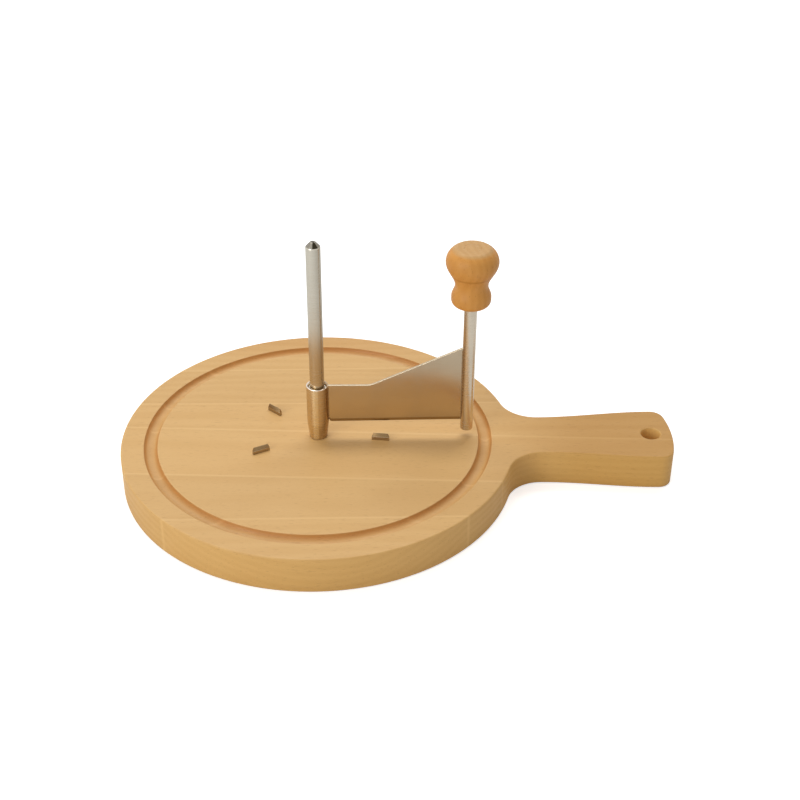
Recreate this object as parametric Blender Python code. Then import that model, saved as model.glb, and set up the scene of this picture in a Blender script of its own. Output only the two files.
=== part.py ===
"""Cheese curler: a round beech board with a handle, a steel spindle and a hand-turned scraper.

A wheel of cheese is pushed down over the spindle, three steel teeth stop it from turning, and the
scraper is dropped over the spindle on top of it. Turning the knob shaves the cheese into curls.

Lengths are in metres, angles in degrees, and +Z is up. The origin lies on the table plane in the
middle of the board's outline. The handle points along +X, and the spindle stands on that line.
"""

import math

import bmesh
import bpy
from mathutils import Matrix, Vector

# Gaps between pieces that touch, and between pieces that turn or slide on each other
SEAT_GAP = 0.0003
RUNNING_GAP = 0.0002

# Board: a disc with a handle, cut from one edge-glued panel
BOARD_RADIUS = 0.110
BOARD_THICKNESS = 0.021
BOARD_EDGE_ROUND = 0.0014

# Handle, measured from the rim of the disc
HANDLE_LENGTH = 0.0895
HANDLE_NECK_WIDTH = 0.0356
HANDLE_END_WIDTH = 0.0462
HANDLE_ROOT_FILLET = 0.0205
HANDLE_CORNER_RADIUS = 0.0076
HANDLE_END_RADIUS = 0.080
HANGING_HOLE_RADIUS = 0.0055
HANGING_HOLE_SETBACK = 0.012
HANGING_HOLE_CHAMFER = 0.0006

# Juice groove, cut with a ball-nosed tool
RIM_WIDTH = 0.0128
GROOVE_WIDTH = 0.0074
GROOVE_DEPTH = 0.0034

# Spindle, let into the board from above and held by a screw from below
SPINDLE_RADIUS = 0.004
SPINDLE_RISE = 0.1207
SPINDLE_TIP_RADIUS = 0.0019
SPINDLE_TIP_LENGTH = 0.0028
SPINDLE_TAP_DEPTH = 0.011
COUNTERBORE_DEPTH = 0.0052
LEDGE_THICKNESS = 0.004
WASHER_RADIUS = 0.0075
WASHER_THICKNESS = 0.0012
SCREW_RADIUS = 0.0025
SCREW_GRIP = 0.0085
SCREW_HEAD_RADIUS = 0.0046
SCREW_HEAD_HEIGHT = 0.0026

# Teeth that hold the cheese still: name, and bearing from the spindle
TOOTH_BEARINGS = {"grip_tooth_back": 137.4, "grip_tooth_front": 207.2, "grip_tooth_handle": 352.6}
TOOTH_RING_RADIUS = 0.0351
TOOTH_LENGTH = 0.0098
TOOTH_THICKNESS = 0.0016
TOOTH_RISE = 0.0041
TOOTH_BURIED = 0.008
TOOTH_EDGE_HEIGHT = 0.0022
TOOTH_EDGE_THICKNESS = 0.0004
TOOTH_END_CHAMFER = 0.0007

# Hub of the scraper: a tube with its foot swaged in, running on a loose bush
BUSH_WALL = 0.0006
HUB_WALL = 0.00105
HUB_HEIGHT = 0.0334
HUB_RIM_ROUND = 0.0003
HUB_MOUTH_DEPTH = 0.0014
HUB_FOOT_HEIGHT = 0.0096
HUB_FOOT_INSET = 0.0011

# Scraper blade
BLADE_THICKNESS = 0.0014
BLADE_CLEARANCE = 0.0096
BLADE_FOOT_RISE = 0.0010
BLADE_GRIND_HEIGHT = 0.0020
BLADE_EDGE_THICKNESS = 0.0003
BLADE_CORNER_RADIUS = 0.0014
BLADE_LEVEL_LENGTH = 0.0223
BLADE_RAMP_RISE = 0.0233
BLADE_JOIN_LENGTH = 0.004

# Crank post, from the blade up into the knob
POST_REACH = 0.0830
POST_RADIUS = 0.0035
POST_CLEARANCE = 0.0048
POST_END_CHAMFER = 0.0004
STEM_SHOULDER = 0.001
STEM_TAP_DEPTH = 0.008

# Knob, a turned bulb on a waisted skirt, stacked from its base upwards
KNOB_BASE_HEIGHT = 0.0834
KNOB_BASE_ROUND = 0.0037
KNOB_SKIRT_RADIUS = 0.0107
KNOB_SKIRT_BAND = 0.0054
KNOB_SKIRT_RISE = 0.0065
KNOB_NECK_RADIUS = 0.0089
KNOB_BULB_RADIUS = 0.0141
KNOB_BULB_RISE = 0.0137
KNOB_CROWN_RADIUS = 0.0088
KNOB_CROWN_RISE = 0.0079

# Fittings inside the knob
POST_SOCKET_DEPTH = 0.003
KNOB_BUSH_WALL = 0.0013
KNOB_WASHER_RADIUS = 0.0045
KNOB_WASHER_THICKNESS = 0.0008
KNOB_SCREW_RADIUS = 0.0013
KNOB_SCREW_GRIP = 0.006
KNOB_SCREW_HEAD_RADIUS = 0.0029
KNOB_SCREW_HEAD_HEIGHT = 0.0019
KNOB_SCREW_HEADROOM = 0.0012
PLUG_THICKNESS = 0.0045

# Fineness of round shapes
BOARD_STEPS = 96
ROD_STEPS = 40
KNOB_STEPS = 48
SMALL_STEPS = 28
ARC_STEPS = 8
SMOOTH_ANGLE = 32.0
MERGE_DISTANCE = 0.000001
# A cutter runs this far past the face that it opens
CUTTER_OVERRUN = 0.002

# Sizes that follow from the ones above
HANDLE_REACH = BOARD_RADIUS + HANDLE_LENGTH
SPINDLE_X = (BOARD_RADIUS - HANDLE_REACH) / 2
GROOVE_RADIUS = BOARD_RADIUS - RIM_WIDTH - GROOVE_WIDTH / 2
GROOVE_TOOL_RADIUS = ((GROOVE_WIDTH / 2) ** 2 + GROOVE_DEPTH ** 2) / (2 * GROOVE_DEPTH)
SPINDLE_SOCKET_FLOOR = COUNTERBORE_DEPTH + LEDGE_THICKNESS
SPINDLE_FOOT = SPINDLE_SOCKET_FLOOR + SEAT_GAP
SPINDLE_TOP = BOARD_THICKNESS + SPINDLE_RISE
WASHER_BASE = COUNTERBORE_DEPTH - SEAT_GAP - WASHER_THICKNESS
SCREW_HEAD_TOP = WASHER_BASE - SEAT_GAP
SCREW_HOLE_RADIUS = SCREW_RADIUS + SEAT_GAP
BUSH_BORE_RADIUS = SPINDLE_RADIUS + RUNNING_GAP
BUSH_RADIUS = BUSH_BORE_RADIUS + BUSH_WALL
HUB_BORE_RADIUS = BUSH_RADIUS + RUNNING_GAP
HUB_RADIUS = HUB_BORE_RADIUS + HUB_WALL
HUB_LIP_RADIUS = SPINDLE_RADIUS + SEAT_GAP
BLADE_START = HUB_RADIUS + SEAT_GAP
BLADE_END = POST_REACH - POST_RADIUS - SEAT_GAP
BLADE_RAMP_START = BLADE_START + BLADE_LEVEL_LENGTH
BLADE_RAMP_SLOPE = BLADE_RAMP_RISE / (BLADE_END - BLADE_RAMP_START)
STEM_RADIUS = POST_RADIUS - STEM_SHOULDER
KNOB_NECK_HEIGHT = KNOB_SKIRT_BAND + KNOB_SKIRT_RISE
KNOB_BULB_HEIGHT = KNOB_NECK_HEIGHT + KNOB_BULB_RISE
KNOB_HEIGHT = KNOB_BULB_HEIGHT + KNOB_CROWN_RISE
KNOB_SCREW_HEAD_TOP = KNOB_HEIGHT - PLUG_THICKNESS - KNOB_SCREW_HEADROOM
KNOB_SCREW_SEAT = KNOB_SCREW_HEAD_TOP - KNOB_SCREW_HEAD_HEIGHT
KNOB_WASHER_SEAT = KNOB_SCREW_SEAT - SEAT_GAP - KNOB_WASHER_THICKNESS
STEM_TOP = KNOB_WASHER_SEAT - SEAT_GAP
KNOB_LEDGE = STEM_TOP - SEAT_GAP
KNOB_BUSH_BORE = STEM_RADIUS + RUNNING_GAP
KNOB_BUSH_RADIUS = KNOB_BUSH_BORE + KNOB_BUSH_WALL
KNOB_BUSH_BASE = POST_SOCKET_DEPTH + SEAT_GAP
KNOB_TOP_BORE = KNOB_WASHER_RADIUS + SEAT_GAP
KNOB_SCREW_HOLE_RADIUS = KNOB_SCREW_RADIUS + SEAT_GAP


def clear_scene():
    """Remove every object that the opened file holds."""
    for item in list(bpy.data.objects):
        bpy.data.objects.remove(item, do_unlink=True)


def make_material(name, color, roughness, metallic=0.0):
    """A plain Principled material in the piece's own colour."""
    material = bpy.data.materials.new(name)
    material.use_nodes = True
    shader = material.node_tree.nodes["Principled BSDF"]
    shader.inputs["Base Color"].default_value = (*color, 1.0)
    shader.inputs["Roughness"].default_value = roughness
    shader.inputs["Metallic"].default_value = metallic
    return material


def place(name, mesh, location=(0.0, 0.0, 0.0), parent=None, material=None):
    """Put a mesh into the scene as one named object."""
    item = bpy.data.objects.new(name, mesh)
    bpy.context.collection.objects.link(item)
    item.location = location
    item.parent = parent
    if material is not None:
        mesh.materials.append(material)
    return item


def place_axis(name, location, parent=None):
    """An empty that marks the line about which its children turn."""
    axis = bpy.data.objects.new(name, None)
    axis.empty_display_type = "SINGLE_ARROW"
    axis.empty_display_size = BOARD_THICKNESS
    bpy.context.collection.objects.link(axis)
    axis.location = location
    axis.parent = parent
    return axis


def close_mesh(name, mesh_data):
    """Turn bmesh geometry into a closed mesh whose faces look outwards."""
    bmesh.ops.remove_doubles(mesh_data, verts=mesh_data.verts, dist=MERGE_DISTANCE)
    bmesh.ops.recalc_face_normals(mesh_data, faces=mesh_data.faces)
    mesh = bpy.data.meshes.new(name)
    mesh_data.to_mesh(mesh)
    mesh_data.free()
    mesh.shade_smooth()
    mesh.set_sharp_from_angle(angle=math.radians(SMOOTH_ANGLE))
    return mesh


def arc(centre, radius, start, end, steps=ARC_STEPS):
    """Points on an arc from one angle to the other, both in degrees."""
    points = []
    for step in range(steps + 1):
        angle = math.radians(start + (end - start) * step / steps)
        points.append((centre[0] + radius * math.cos(angle), centre[1] + radius * math.sin(angle)))
    return points


def turned(name, profile, steps, ring=False):
    """Spin a profile of (radius, height) points about Z. A ring's profile closes on itself."""
    shape = bmesh.new()
    verts = [shape.verts.new((radius, 0.0, height)) for radius, height in profile]
    pairs = list(zip(verts, verts[1:]))
    if ring:
        pairs.append((verts[-1], verts[0]))
    edges = [shape.edges.new(pair) for pair in pairs]
    bmesh.ops.spin(shape, geom=verts + edges, cent=(0, 0, 0), axis=(0, 0, 1), angle=math.tau, steps=steps)
    return close_mesh(name, shape)


def extruded(name, outline, base, height):
    """A prism over an outline of (x, y) points."""
    shape = bmesh.new()
    floor = shape.faces.new([shape.verts.new((x, y, base)) for x, y in outline])
    raised = bmesh.ops.extrude_face_region(shape, geom=[floor])["geom"]
    verts = [item for item in raised if isinstance(item, bmesh.types.BMVert)]
    bmesh.ops.translate(shape, verts=verts, vec=(0, 0, height))
    return close_mesh(name, shape)


def lofted(name, rings):
    """Join rings of equally many points into one skin, with a flat cap at each end."""
    shape = bmesh.new()
    loops = [[shape.verts.new(point) for point in ring] for ring in rings]
    for near, far in zip(loops, loops[1:]):
        for index in range(len(near)):
            following = (index + 1) % len(near)
            shape.faces.new((near[index], near[following], far[following], far[index]))
    shape.faces.new(loops[0])
    shape.faces.new(loops[-1])
    return close_mesh(name, shape)


def cut(target, name, mesh):
    """Subtract a closed shape from a piece. The cutter itself stays hidden."""
    cutter = place(name, mesh, parent=target)
    cutter.hide_render = True
    cutter.display_type = "WIRE"
    boolean = target.modifiers.new(name, "BOOLEAN")
    boolean.operation = "DIFFERENCE"
    boolean.object = cutter


def half_board_outline():
    """One side of the board, from the far side of the disc to the tip of the handle."""
    neck = HANDLE_NECK_WIDTH / 2
    end = HANDLE_END_WIDTH / 2
    root_y = neck + HANDLE_ROOT_FILLET
    root_x = math.sqrt((BOARD_RADIUS + HANDLE_ROOT_FILLET) ** 2 - root_y ** 2)
    root_angle = math.degrees(math.atan2(root_y, root_x))
    tip_x = HANDLE_REACH - HANDLE_END_RADIUS
    corner_y = end - HANDLE_CORNER_RADIUS
    corner_x = tip_x + math.sqrt((HANDLE_END_RADIUS - HANDLE_CORNER_RADIUS) ** 2 - corner_y ** 2)
    corner_angle = math.degrees(math.atan2(corner_y, corner_x - tip_x))
    disc_steps = round(BOARD_STEPS * (180 - root_angle) / 360)
    points = arc((0, 0), BOARD_RADIUS, 180, root_angle, disc_steps)
    points += arc((root_x, root_y), HANDLE_ROOT_FILLET, 180 + root_angle, 270)[1:]
    for step in range(1, ARC_STEPS):
        share = step / ARC_STEPS
        flare = share * share * (3 - 2 * share)
        points.append((root_x + (corner_x - root_x) * share, neck + (end - neck) * flare))
    points += arc((corner_x, corner_y), HANDLE_CORNER_RADIUS, 90, corner_angle)
    points += arc((tip_x, 0), HANDLE_END_RADIUS, corner_angle, 0, ARC_STEPS // 2)[1:]
    return points


def board_outline():
    """The whole outline about the spindle's axis, the second half mirrored from the first."""
    half = half_board_outline()
    mirrored = [(x, -y) for x, y in reversed(half[1:-1])]
    return half + mirrored


def groove_cutter():
    """The path of a ball-nosed tool round the disc."""
    centre = (GROOVE_RADIUS, BOARD_THICKNESS - GROOVE_DEPTH + GROOVE_TOOL_RADIUS)
    section = arc(centre, GROOVE_TOOL_RADIUS, 0, 360, 2 * ARC_STEPS)[:-1]
    return turned("groove_cutter", section, BOARD_STEPS, ring=True)


def spindle_bore_cutter():
    """Counterbore for the screw, its clearance hole, and the socket of the spindle."""
    counterbore = WASHER_RADIUS + SEAT_GAP
    socket = SPINDLE_RADIUS + SEAT_GAP
    profile = [
        (0, -CUTTER_OVERRUN),
        (counterbore, -CUTTER_OVERRUN),
        (counterbore, COUNTERBORE_DEPTH),
        (SCREW_HOLE_RADIUS, COUNTERBORE_DEPTH),
        (SCREW_HOLE_RADIUS, SPINDLE_SOCKET_FLOOR),
        (socket, SPINDLE_SOCKET_FLOOR),
        (socket, BOARD_THICKNESS + CUTTER_OVERRUN),
        (0, BOARD_THICKNESS + CUTTER_OVERRUN),
    ]
    return turned("spindle_bore_cutter", profile, ROD_STEPS)


def hanging_hole_cutter():
    """The hole in the handle, with a small chamfer at both faces."""
    wide = HANGING_HOLE_RADIUS + HANGING_HOLE_CHAMFER + CUTTER_OVERRUN
    profile = [
        (0, -CUTTER_OVERRUN),
        (wide, -CUTTER_OVERRUN),
        (HANGING_HOLE_RADIUS, HANGING_HOLE_CHAMFER),
        (HANGING_HOLE_RADIUS, BOARD_THICKNESS - HANGING_HOLE_CHAMFER),
        (wide, BOARD_THICKNESS + CUTTER_OVERRUN),
        (0, BOARD_THICKNESS + CUTTER_OVERRUN),
    ]
    mesh = turned("hanging_hole_cutter", profile, ROD_STEPS)
    mesh.transform(Matrix.Translation((HANDLE_REACH - HANGING_HOLE_SETBACK, 0, 0)))
    return mesh


def tooth_matrix(bearing):
    """Stand a tooth on the ring round the spindle, pointing at it."""
    turn = Matrix.Rotation(math.radians(bearing), 4, "Z")
    return turn @ Matrix.Translation((TOOTH_RING_RADIUS, 0, BOARD_THICKNESS))


def tooth_slot_cutter(bearing):
    """The slot that one tooth is driven into."""
    half_length = TOOTH_LENGTH / 2 + SEAT_GAP
    half_width = TOOTH_THICKNESS / 2 + SEAT_GAP
    depth = TOOTH_BURIED + SEAT_GAP
    outline = [
        (-half_length, -half_width),
        (half_length, -half_width),
        (half_length, half_width),
        (-half_length, half_width),
    ]
    mesh = extruded("tooth_slot_cutter", outline, -depth, depth + CUTTER_OVERRUN)
    mesh.transform(tooth_matrix(bearing))
    return mesh


def make_board():
    """The board with its groove, bores and slots."""
    wood = make_material("board_beech", (0.68, 0.44, 0.21), 0.5)
    panel = extruded("board", board_outline(), 0, BOARD_THICKNESS)
    board = place("board", panel, (SPINDLE_X, 0, 0), material=wood)
    rounding = board.modifiers.new("rounded_edges", "BEVEL")
    rounding.width = BOARD_EDGE_ROUND
    rounding.segments = 3
    rounding.limit_method = "ANGLE"
    rounding.angle_limit = math.radians(60)
    cut(board, "groove_cutter", groove_cutter())
    cut(board, "spindle_bore_cutter", spindle_bore_cutter())
    cut(board, "hanging_hole_cutter", hanging_hole_cutter())
    for name, bearing in TOOTH_BEARINGS.items():
        cut(board, name + "_slot_cutter", tooth_slot_cutter(bearing))


def make_teeth():
    """Three steel plates driven into the board, ground to an edge that bites into the rind."""
    half_thick = TOOTH_THICKNESS / 2
    half_edge = TOOTH_EDGE_THICKNESS / 2
    shoulder = TOOTH_RISE - TOOTH_EDGE_HEIGHT
    for name, bearing in TOOTH_BEARINGS.items():
        steel = make_material(name + "_steel", (0.45, 0.40, 0.33), 0.4, 1.0)
        rings = []
        for side in (-1, 1):
            foot = side * TOOTH_LENGTH / 2
            head = side * (TOOTH_LENGTH / 2 - TOOTH_END_CHAMFER)
            rings.append([
                (foot, -half_thick, -TOOTH_BURIED),
                (foot, half_thick, -TOOTH_BURIED),
                (foot, half_thick, shoulder),
                (head, half_edge, TOOTH_RISE),
                (head, -half_edge, TOOTH_RISE),
                (foot, -half_thick, shoulder),
            ])
        mesh = lofted(name, rings)
        mesh.transform(tooth_matrix(bearing))
        place(name, mesh, (SPINDLE_X, 0, 0), material=steel)


def make_spindle():
    """The fixed steel rod, with a rounded nose on top and a tapped hole in its foot."""
    tap_top = SPINDLE_FOOT + SPINDLE_TAP_DEPTH
    nose_width = SPINDLE_RADIUS - SPINDLE_TIP_RADIUS
    nose_base = SPINDLE_TOP - SPINDLE_TIP_LENGTH
    profile = [
        (0, tap_top),
        (SCREW_HOLE_RADIUS, tap_top),
        (SCREW_HOLE_RADIUS, SPINDLE_FOOT),
        (SPINDLE_RADIUS, SPINDLE_FOOT),
    ]
    for across, up in arc((0, 0), 1, 0, 90, ARC_STEPS // 2):
        profile.append((SPINDLE_TIP_RADIUS + nose_width * across, nose_base + SPINDLE_TIP_LENGTH * up))
    profile.append((0, SPINDLE_TOP))
    steel = make_material("spindle_steel", (0.62, 0.60, 0.57), 0.25, 1.0)
    place("spindle", turned("spindle", profile, ROD_STEPS), (SPINDLE_X, 0, 0), material=steel)


def make_spindle_fixings():
    """The screw and washer in the counterbore under the board, which pull the spindle down."""
    zinc = make_material("washer_steel", (0.58, 0.58, 0.56), 0.35, 1.0)
    washer_top = WASHER_BASE + WASHER_THICKNESS
    washer = [
        (SCREW_HOLE_RADIUS, WASHER_BASE),
        (WASHER_RADIUS, WASHER_BASE),
        (WASHER_RADIUS, washer_top),
        (SCREW_HOLE_RADIUS, washer_top),
    ]
    washer_mesh = turned("spindle_washer", washer, SMALL_STEPS, ring=True)
    place("spindle_washer", washer_mesh, (SPINDLE_X, 0, 0), material=zinc)
    screw_steel = make_material("screw_steel", (0.55, 0.55, 0.54), 0.3, 1.0)
    crown = SCREW_HEAD_HEIGHT / 2
    shank_end = SPINDLE_FOOT + SCREW_GRIP
    screw = [
        (0, SCREW_HEAD_TOP - SCREW_HEAD_HEIGHT),
        (SCREW_HEAD_RADIUS - crown, SCREW_HEAD_TOP - SCREW_HEAD_HEIGHT),
        (SCREW_HEAD_RADIUS, SCREW_HEAD_TOP - crown),
        (SCREW_HEAD_RADIUS, SCREW_HEAD_TOP),
        (SCREW_RADIUS, SCREW_HEAD_TOP),
        (SCREW_RADIUS, shank_end),
        (0, shank_end),
    ]
    screw_mesh = turned("spindle_screw", screw, SMALL_STEPS)
    place("spindle_screw", screw_mesh, (SPINDLE_X, 0, 0), material=screw_steel)


def make_hub(axis):
    """The tube that turns about the spindle, and the bush inside it that slides on the spindle."""
    foot_outer = HUB_RADIUS - HUB_FOOT_INSET
    sleeve = [
        (HUB_LIP_RADIUS, SEAT_GAP),
        (foot_outer, SEAT_GAP),
        (HUB_RADIUS, HUB_FOOT_HEIGHT),
        (HUB_RADIUS, HUB_HEIGHT - HUB_RIM_ROUND),
        (HUB_RADIUS - HUB_RIM_ROUND, HUB_HEIGHT),
        (HUB_BORE_RADIUS + HUB_RIM_ROUND, HUB_HEIGHT),
        (HUB_BORE_RADIUS, HUB_HEIGHT - HUB_RIM_ROUND),
        (HUB_BORE_RADIUS, HUB_FOOT_HEIGHT),
    ]
    steel = make_material("hub_steel", (0.60, 0.55, 0.48), 0.2, 1.0)
    place("hub_sleeve", turned("hub_sleeve", sleeve, ROD_STEPS, ring=True), parent=axis, material=steel)
    bush_base = HUB_FOOT_HEIGHT + SEAT_GAP
    bush_top = HUB_HEIGHT - HUB_MOUTH_DEPTH
    bush = [
        (BUSH_BORE_RADIUS, bush_base),
        (BUSH_RADIUS, bush_base),
        (BUSH_RADIUS, bush_top),
        (BUSH_BORE_RADIUS, bush_top),
    ]
    bush_steel = make_material("bush_steel", (0.66, 0.64, 0.60), 0.25, 1.0)
    place("hub_bush", turned("hub_bush", bush, ROD_STEPS, ring=True), parent=axis, material=bush_steel)


def blade_top(x):
    """Top edge of the blade: level with the hub, then a ramp up to the post, joined by a bend."""
    past = x - BLADE_RAMP_START
    before = -BLADE_JOIN_LENGTH / 2
    if past <= before:
        return HUB_HEIGHT
    if past >= -before:
        return HUB_HEIGHT + BLADE_RAMP_SLOPE * past
    return HUB_HEIGHT + BLADE_RAMP_SLOPE * (past - before) ** 2 / (2 * BLADE_JOIN_LENGTH)


def blade_bottom(x):
    """Cutting edge of the blade: it rises a little to the post, and its inner corner is rounded."""
    along = (x - BLADE_START) / (BLADE_END - BLADE_START)
    edge = BLADE_CLEARANCE + BLADE_FOOT_RISE * along
    inset = BLADE_CORNER_RADIUS - (x - BLADE_START)
    if inset <= 0:
        return edge
    return edge + BLADE_CORNER_RADIUS - math.sqrt(BLADE_CORNER_RADIUS ** 2 - inset ** 2)


def blade_stations():
    """Places along the blade where its outline bends."""
    corner = arc((BLADE_START + BLADE_CORNER_RADIUS, 0), BLADE_CORNER_RADIUS, 180, 90, ARC_STEPS // 2)
    stations = [x for x, _ in corner]
    for step in range(ARC_STEPS + 1):
        stations.append(BLADE_RAMP_START + BLADE_JOIN_LENGTH * (step / ARC_STEPS - 1 / 2))
    return stations + [BLADE_END]


def make_blade(axis):
    """The scraper blade between hub and post, ground to an edge along its foot."""
    half_thick = BLADE_THICKNESS / 2
    half_edge = BLADE_EDGE_THICKNESS / 2
    rings = []
    for x in blade_stations():
        foot = blade_bottom(x)
        grind = foot + BLADE_GRIND_HEIGHT
        top = blade_top(x)
        rings.append([
            (x, -half_edge, foot),
            (x, half_edge, foot),
            (x, half_thick, grind),
            (x, half_thick, top),
            (x, -half_thick, top),
            (x, -half_thick, grind),
        ])
    steel = make_material("blade_steel", (0.42, 0.36, 0.29), 0.35, 1.0)
    place("blade", lofted("blade", rings), parent=axis, material=steel)


def make_post(axis):
    """The upright rod that the knob turns on, with a thinner stem inside the knob."""
    shoulder = KNOB_BASE_HEIGHT + POST_SOCKET_DEPTH
    stem_top = KNOB_BASE_HEIGHT + STEM_TOP
    profile = [
        (0, POST_CLEARANCE),
        (POST_RADIUS - POST_END_CHAMFER, POST_CLEARANCE),
        (POST_RADIUS, POST_CLEARANCE + POST_END_CHAMFER),
        (POST_RADIUS, shoulder),
        (STEM_RADIUS, shoulder),
        (STEM_RADIUS, stem_top),
        (KNOB_SCREW_HOLE_RADIUS, stem_top),
        (KNOB_SCREW_HOLE_RADIUS, stem_top - STEM_TAP_DEPTH),
        (0, stem_top - STEM_TAP_DEPTH),
    ]
    steel = make_material("post_steel", (0.60, 0.57, 0.53), 0.25, 1.0)
    place("crank_post", turned("crank_post", profile, ROD_STEPS), (POST_REACH, 0, 0), axis, steel)


def waved(start, end, base, rise):
    """Points of a swept S from one radius to another, upright at both ends."""
    points = []
    for step in range(ARC_STEPS + 1):
        share = step / ARC_STEPS
        sweep = (1 - math.cos(math.pi * share)) / 2
        points.append((start + (end - start) * sweep, base + rise * share))
    return points


def knob_outline():
    """Outside of the knob from its base to its crown, as (radius, height)."""
    points = arc((KNOB_SKIRT_RADIUS - KNOB_BASE_ROUND, KNOB_BASE_ROUND), KNOB_BASE_ROUND, -90, 0)
    points += waved(KNOB_SKIRT_RADIUS, KNOB_NECK_RADIUS, KNOB_SKIRT_BAND, KNOB_SKIRT_RISE)
    points += waved(KNOB_NECK_RADIUS, KNOB_BULB_RADIUS, KNOB_NECK_HEIGHT, KNOB_BULB_RISE)[1:]
    inset = KNOB_BULB_RADIUS - KNOB_CROWN_RADIUS
    crown_radius = (inset ** 2 + KNOB_CROWN_RISE ** 2) / (2 * inset)
    crown_angle = math.degrees(math.atan2(KNOB_CROWN_RISE, crown_radius - inset))
    crown_centre = (KNOB_BULB_RADIUS - crown_radius, KNOB_BULB_HEIGHT)
    return points + arc(crown_centre, crown_radius, 0, crown_angle)[1:]


def make_knob(axis):
    """The turned wooden knob with a stepped bore, its bush, and the plug that hides the screw."""
    socket = POST_RADIUS + SEAT_GAP
    bush_seat = KNOB_BUSH_RADIUS + SEAT_GAP
    socket_top = POST_SOCKET_DEPTH
    bore = [
        (KNOB_TOP_BORE, KNOB_HEIGHT),
        (KNOB_TOP_BORE, KNOB_LEDGE),
        (bush_seat, KNOB_LEDGE),
        (bush_seat, socket_top),
        (socket, socket_top),
        (socket, 0),
    ]
    wood = make_material("knob_wood", (0.60, 0.33, 0.10), 0.45)
    place("knob", turned("knob", knob_outline() + bore, KNOB_STEPS, ring=True), parent=axis, material=wood)
    brass = make_material("knob_bush_brass", (0.72, 0.55, 0.25), 0.3, 1.0)
    bush = [
        (KNOB_BUSH_BORE, KNOB_BUSH_BASE),
        (KNOB_BUSH_RADIUS, KNOB_BUSH_BASE),
        (KNOB_BUSH_RADIUS, KNOB_LEDGE),
        (KNOB_BUSH_BORE, KNOB_LEDGE),
    ]
    place("knob_bush", turned("knob_bush", bush, SMALL_STEPS, ring=True), parent=axis, material=brass)
    plug_wood = make_material("plug_wood", (0.66, 0.42, 0.20), 0.5)
    plug_radius = KNOB_TOP_BORE - SEAT_GAP
    plug_base = KNOB_HEIGHT - PLUG_THICKNESS
    plug = [(0, plug_base), (plug_radius, plug_base), (plug_radius, KNOB_HEIGHT), (0, KNOB_HEIGHT)]
    place("knob_plug", turned("knob_plug", plug, SMALL_STEPS), parent=axis, material=plug_wood)


def make_knob_fixings(axis):
    """The washer and screw on top of the stem, which keep the knob on while it turns."""
    washer_top = KNOB_WASHER_SEAT + KNOB_WASHER_THICKNESS
    washer = [
        (KNOB_SCREW_HOLE_RADIUS, KNOB_WASHER_SEAT),
        (KNOB_WASHER_RADIUS, KNOB_WASHER_SEAT),
        (KNOB_WASHER_RADIUS, washer_top),
        (KNOB_SCREW_HOLE_RADIUS, washer_top),
    ]
    zinc = make_material("knob_washer_steel", (0.58, 0.58, 0.56), 0.35, 1.0)
    place("knob_washer", turned("knob_washer", washer, SMALL_STEPS, ring=True), parent=axis, material=zinc)
    shank_end = STEM_TOP - KNOB_SCREW_GRIP
    screw = [
        (0, shank_end),
        (KNOB_SCREW_RADIUS, shank_end),
        (KNOB_SCREW_RADIUS, KNOB_SCREW_SEAT),
        (KNOB_SCREW_HEAD_RADIUS, KNOB_SCREW_SEAT),
        (KNOB_SCREW_HEAD_RADIUS, KNOB_SCREW_SEAT + KNOB_SCREW_HEAD_HEIGHT / 2),
        (KNOB_SCREW_HEAD_RADIUS - KNOB_SCREW_HEAD_HEIGHT / 2, KNOB_SCREW_HEAD_TOP),
        (0, KNOB_SCREW_HEAD_TOP),
    ]
    screw_steel = make_material("knob_screw_steel", (0.55, 0.55, 0.54), 0.3, 1.0)
    place("knob_screw", turned("knob_screw", screw, SMALL_STEPS), parent=axis, material=screw_steel)


def main():
    """Build the curler: the board with what is fixed to it, the scraper, and its knob."""
    clear_scene()
    make_board()
    make_teeth()
    make_spindle()
    make_spindle_fixings()
    spindle_axis = place_axis("spindle_axis", Vector((SPINDLE_X, 0, BOARD_THICKNESS)))
    make_hub(spindle_axis)
    make_blade(spindle_axis)
    make_post(spindle_axis)
    knob_axis = place_axis("knob_axis", Vector((POST_REACH, 0, KNOB_BASE_HEIGHT)), spindle_axis)
    make_knob(knob_axis)
    make_knob_fixings(knob_axis)


main()
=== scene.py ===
"""Looks of the cheese curler: its finished pieces, their materials, the studio and the camera.

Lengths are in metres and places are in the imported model's own frame: +X runs along the handle, +Z is up
and the board lies on the plane z = 0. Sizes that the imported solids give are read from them. The others
repeat the numbers that the solids were drawn with, to within a millimetre.
"""

import logging
import math
from collections.abc import Sequence
from dataclasses import dataclass, field
from enum import Enum

import bmesh
import bpy
from mathutils import Matrix, Vector
from mathutils.geometry import delaunay_2d_cdt


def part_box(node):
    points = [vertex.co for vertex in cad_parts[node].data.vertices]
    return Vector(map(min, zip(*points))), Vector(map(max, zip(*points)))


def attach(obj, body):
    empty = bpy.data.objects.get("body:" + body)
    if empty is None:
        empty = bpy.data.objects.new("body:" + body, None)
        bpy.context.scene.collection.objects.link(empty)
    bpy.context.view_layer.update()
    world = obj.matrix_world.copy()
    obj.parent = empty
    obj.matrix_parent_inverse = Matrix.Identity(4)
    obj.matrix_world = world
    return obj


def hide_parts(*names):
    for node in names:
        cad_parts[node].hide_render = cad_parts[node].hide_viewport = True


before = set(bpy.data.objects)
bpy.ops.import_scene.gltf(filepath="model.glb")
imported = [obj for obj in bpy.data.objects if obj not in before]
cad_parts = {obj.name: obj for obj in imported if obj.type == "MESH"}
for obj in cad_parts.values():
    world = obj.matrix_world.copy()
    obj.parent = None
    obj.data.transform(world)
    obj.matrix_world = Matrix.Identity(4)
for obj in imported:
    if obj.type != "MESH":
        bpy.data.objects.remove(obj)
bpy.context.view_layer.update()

log = logging.getLogger("cheese_curler")

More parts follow.
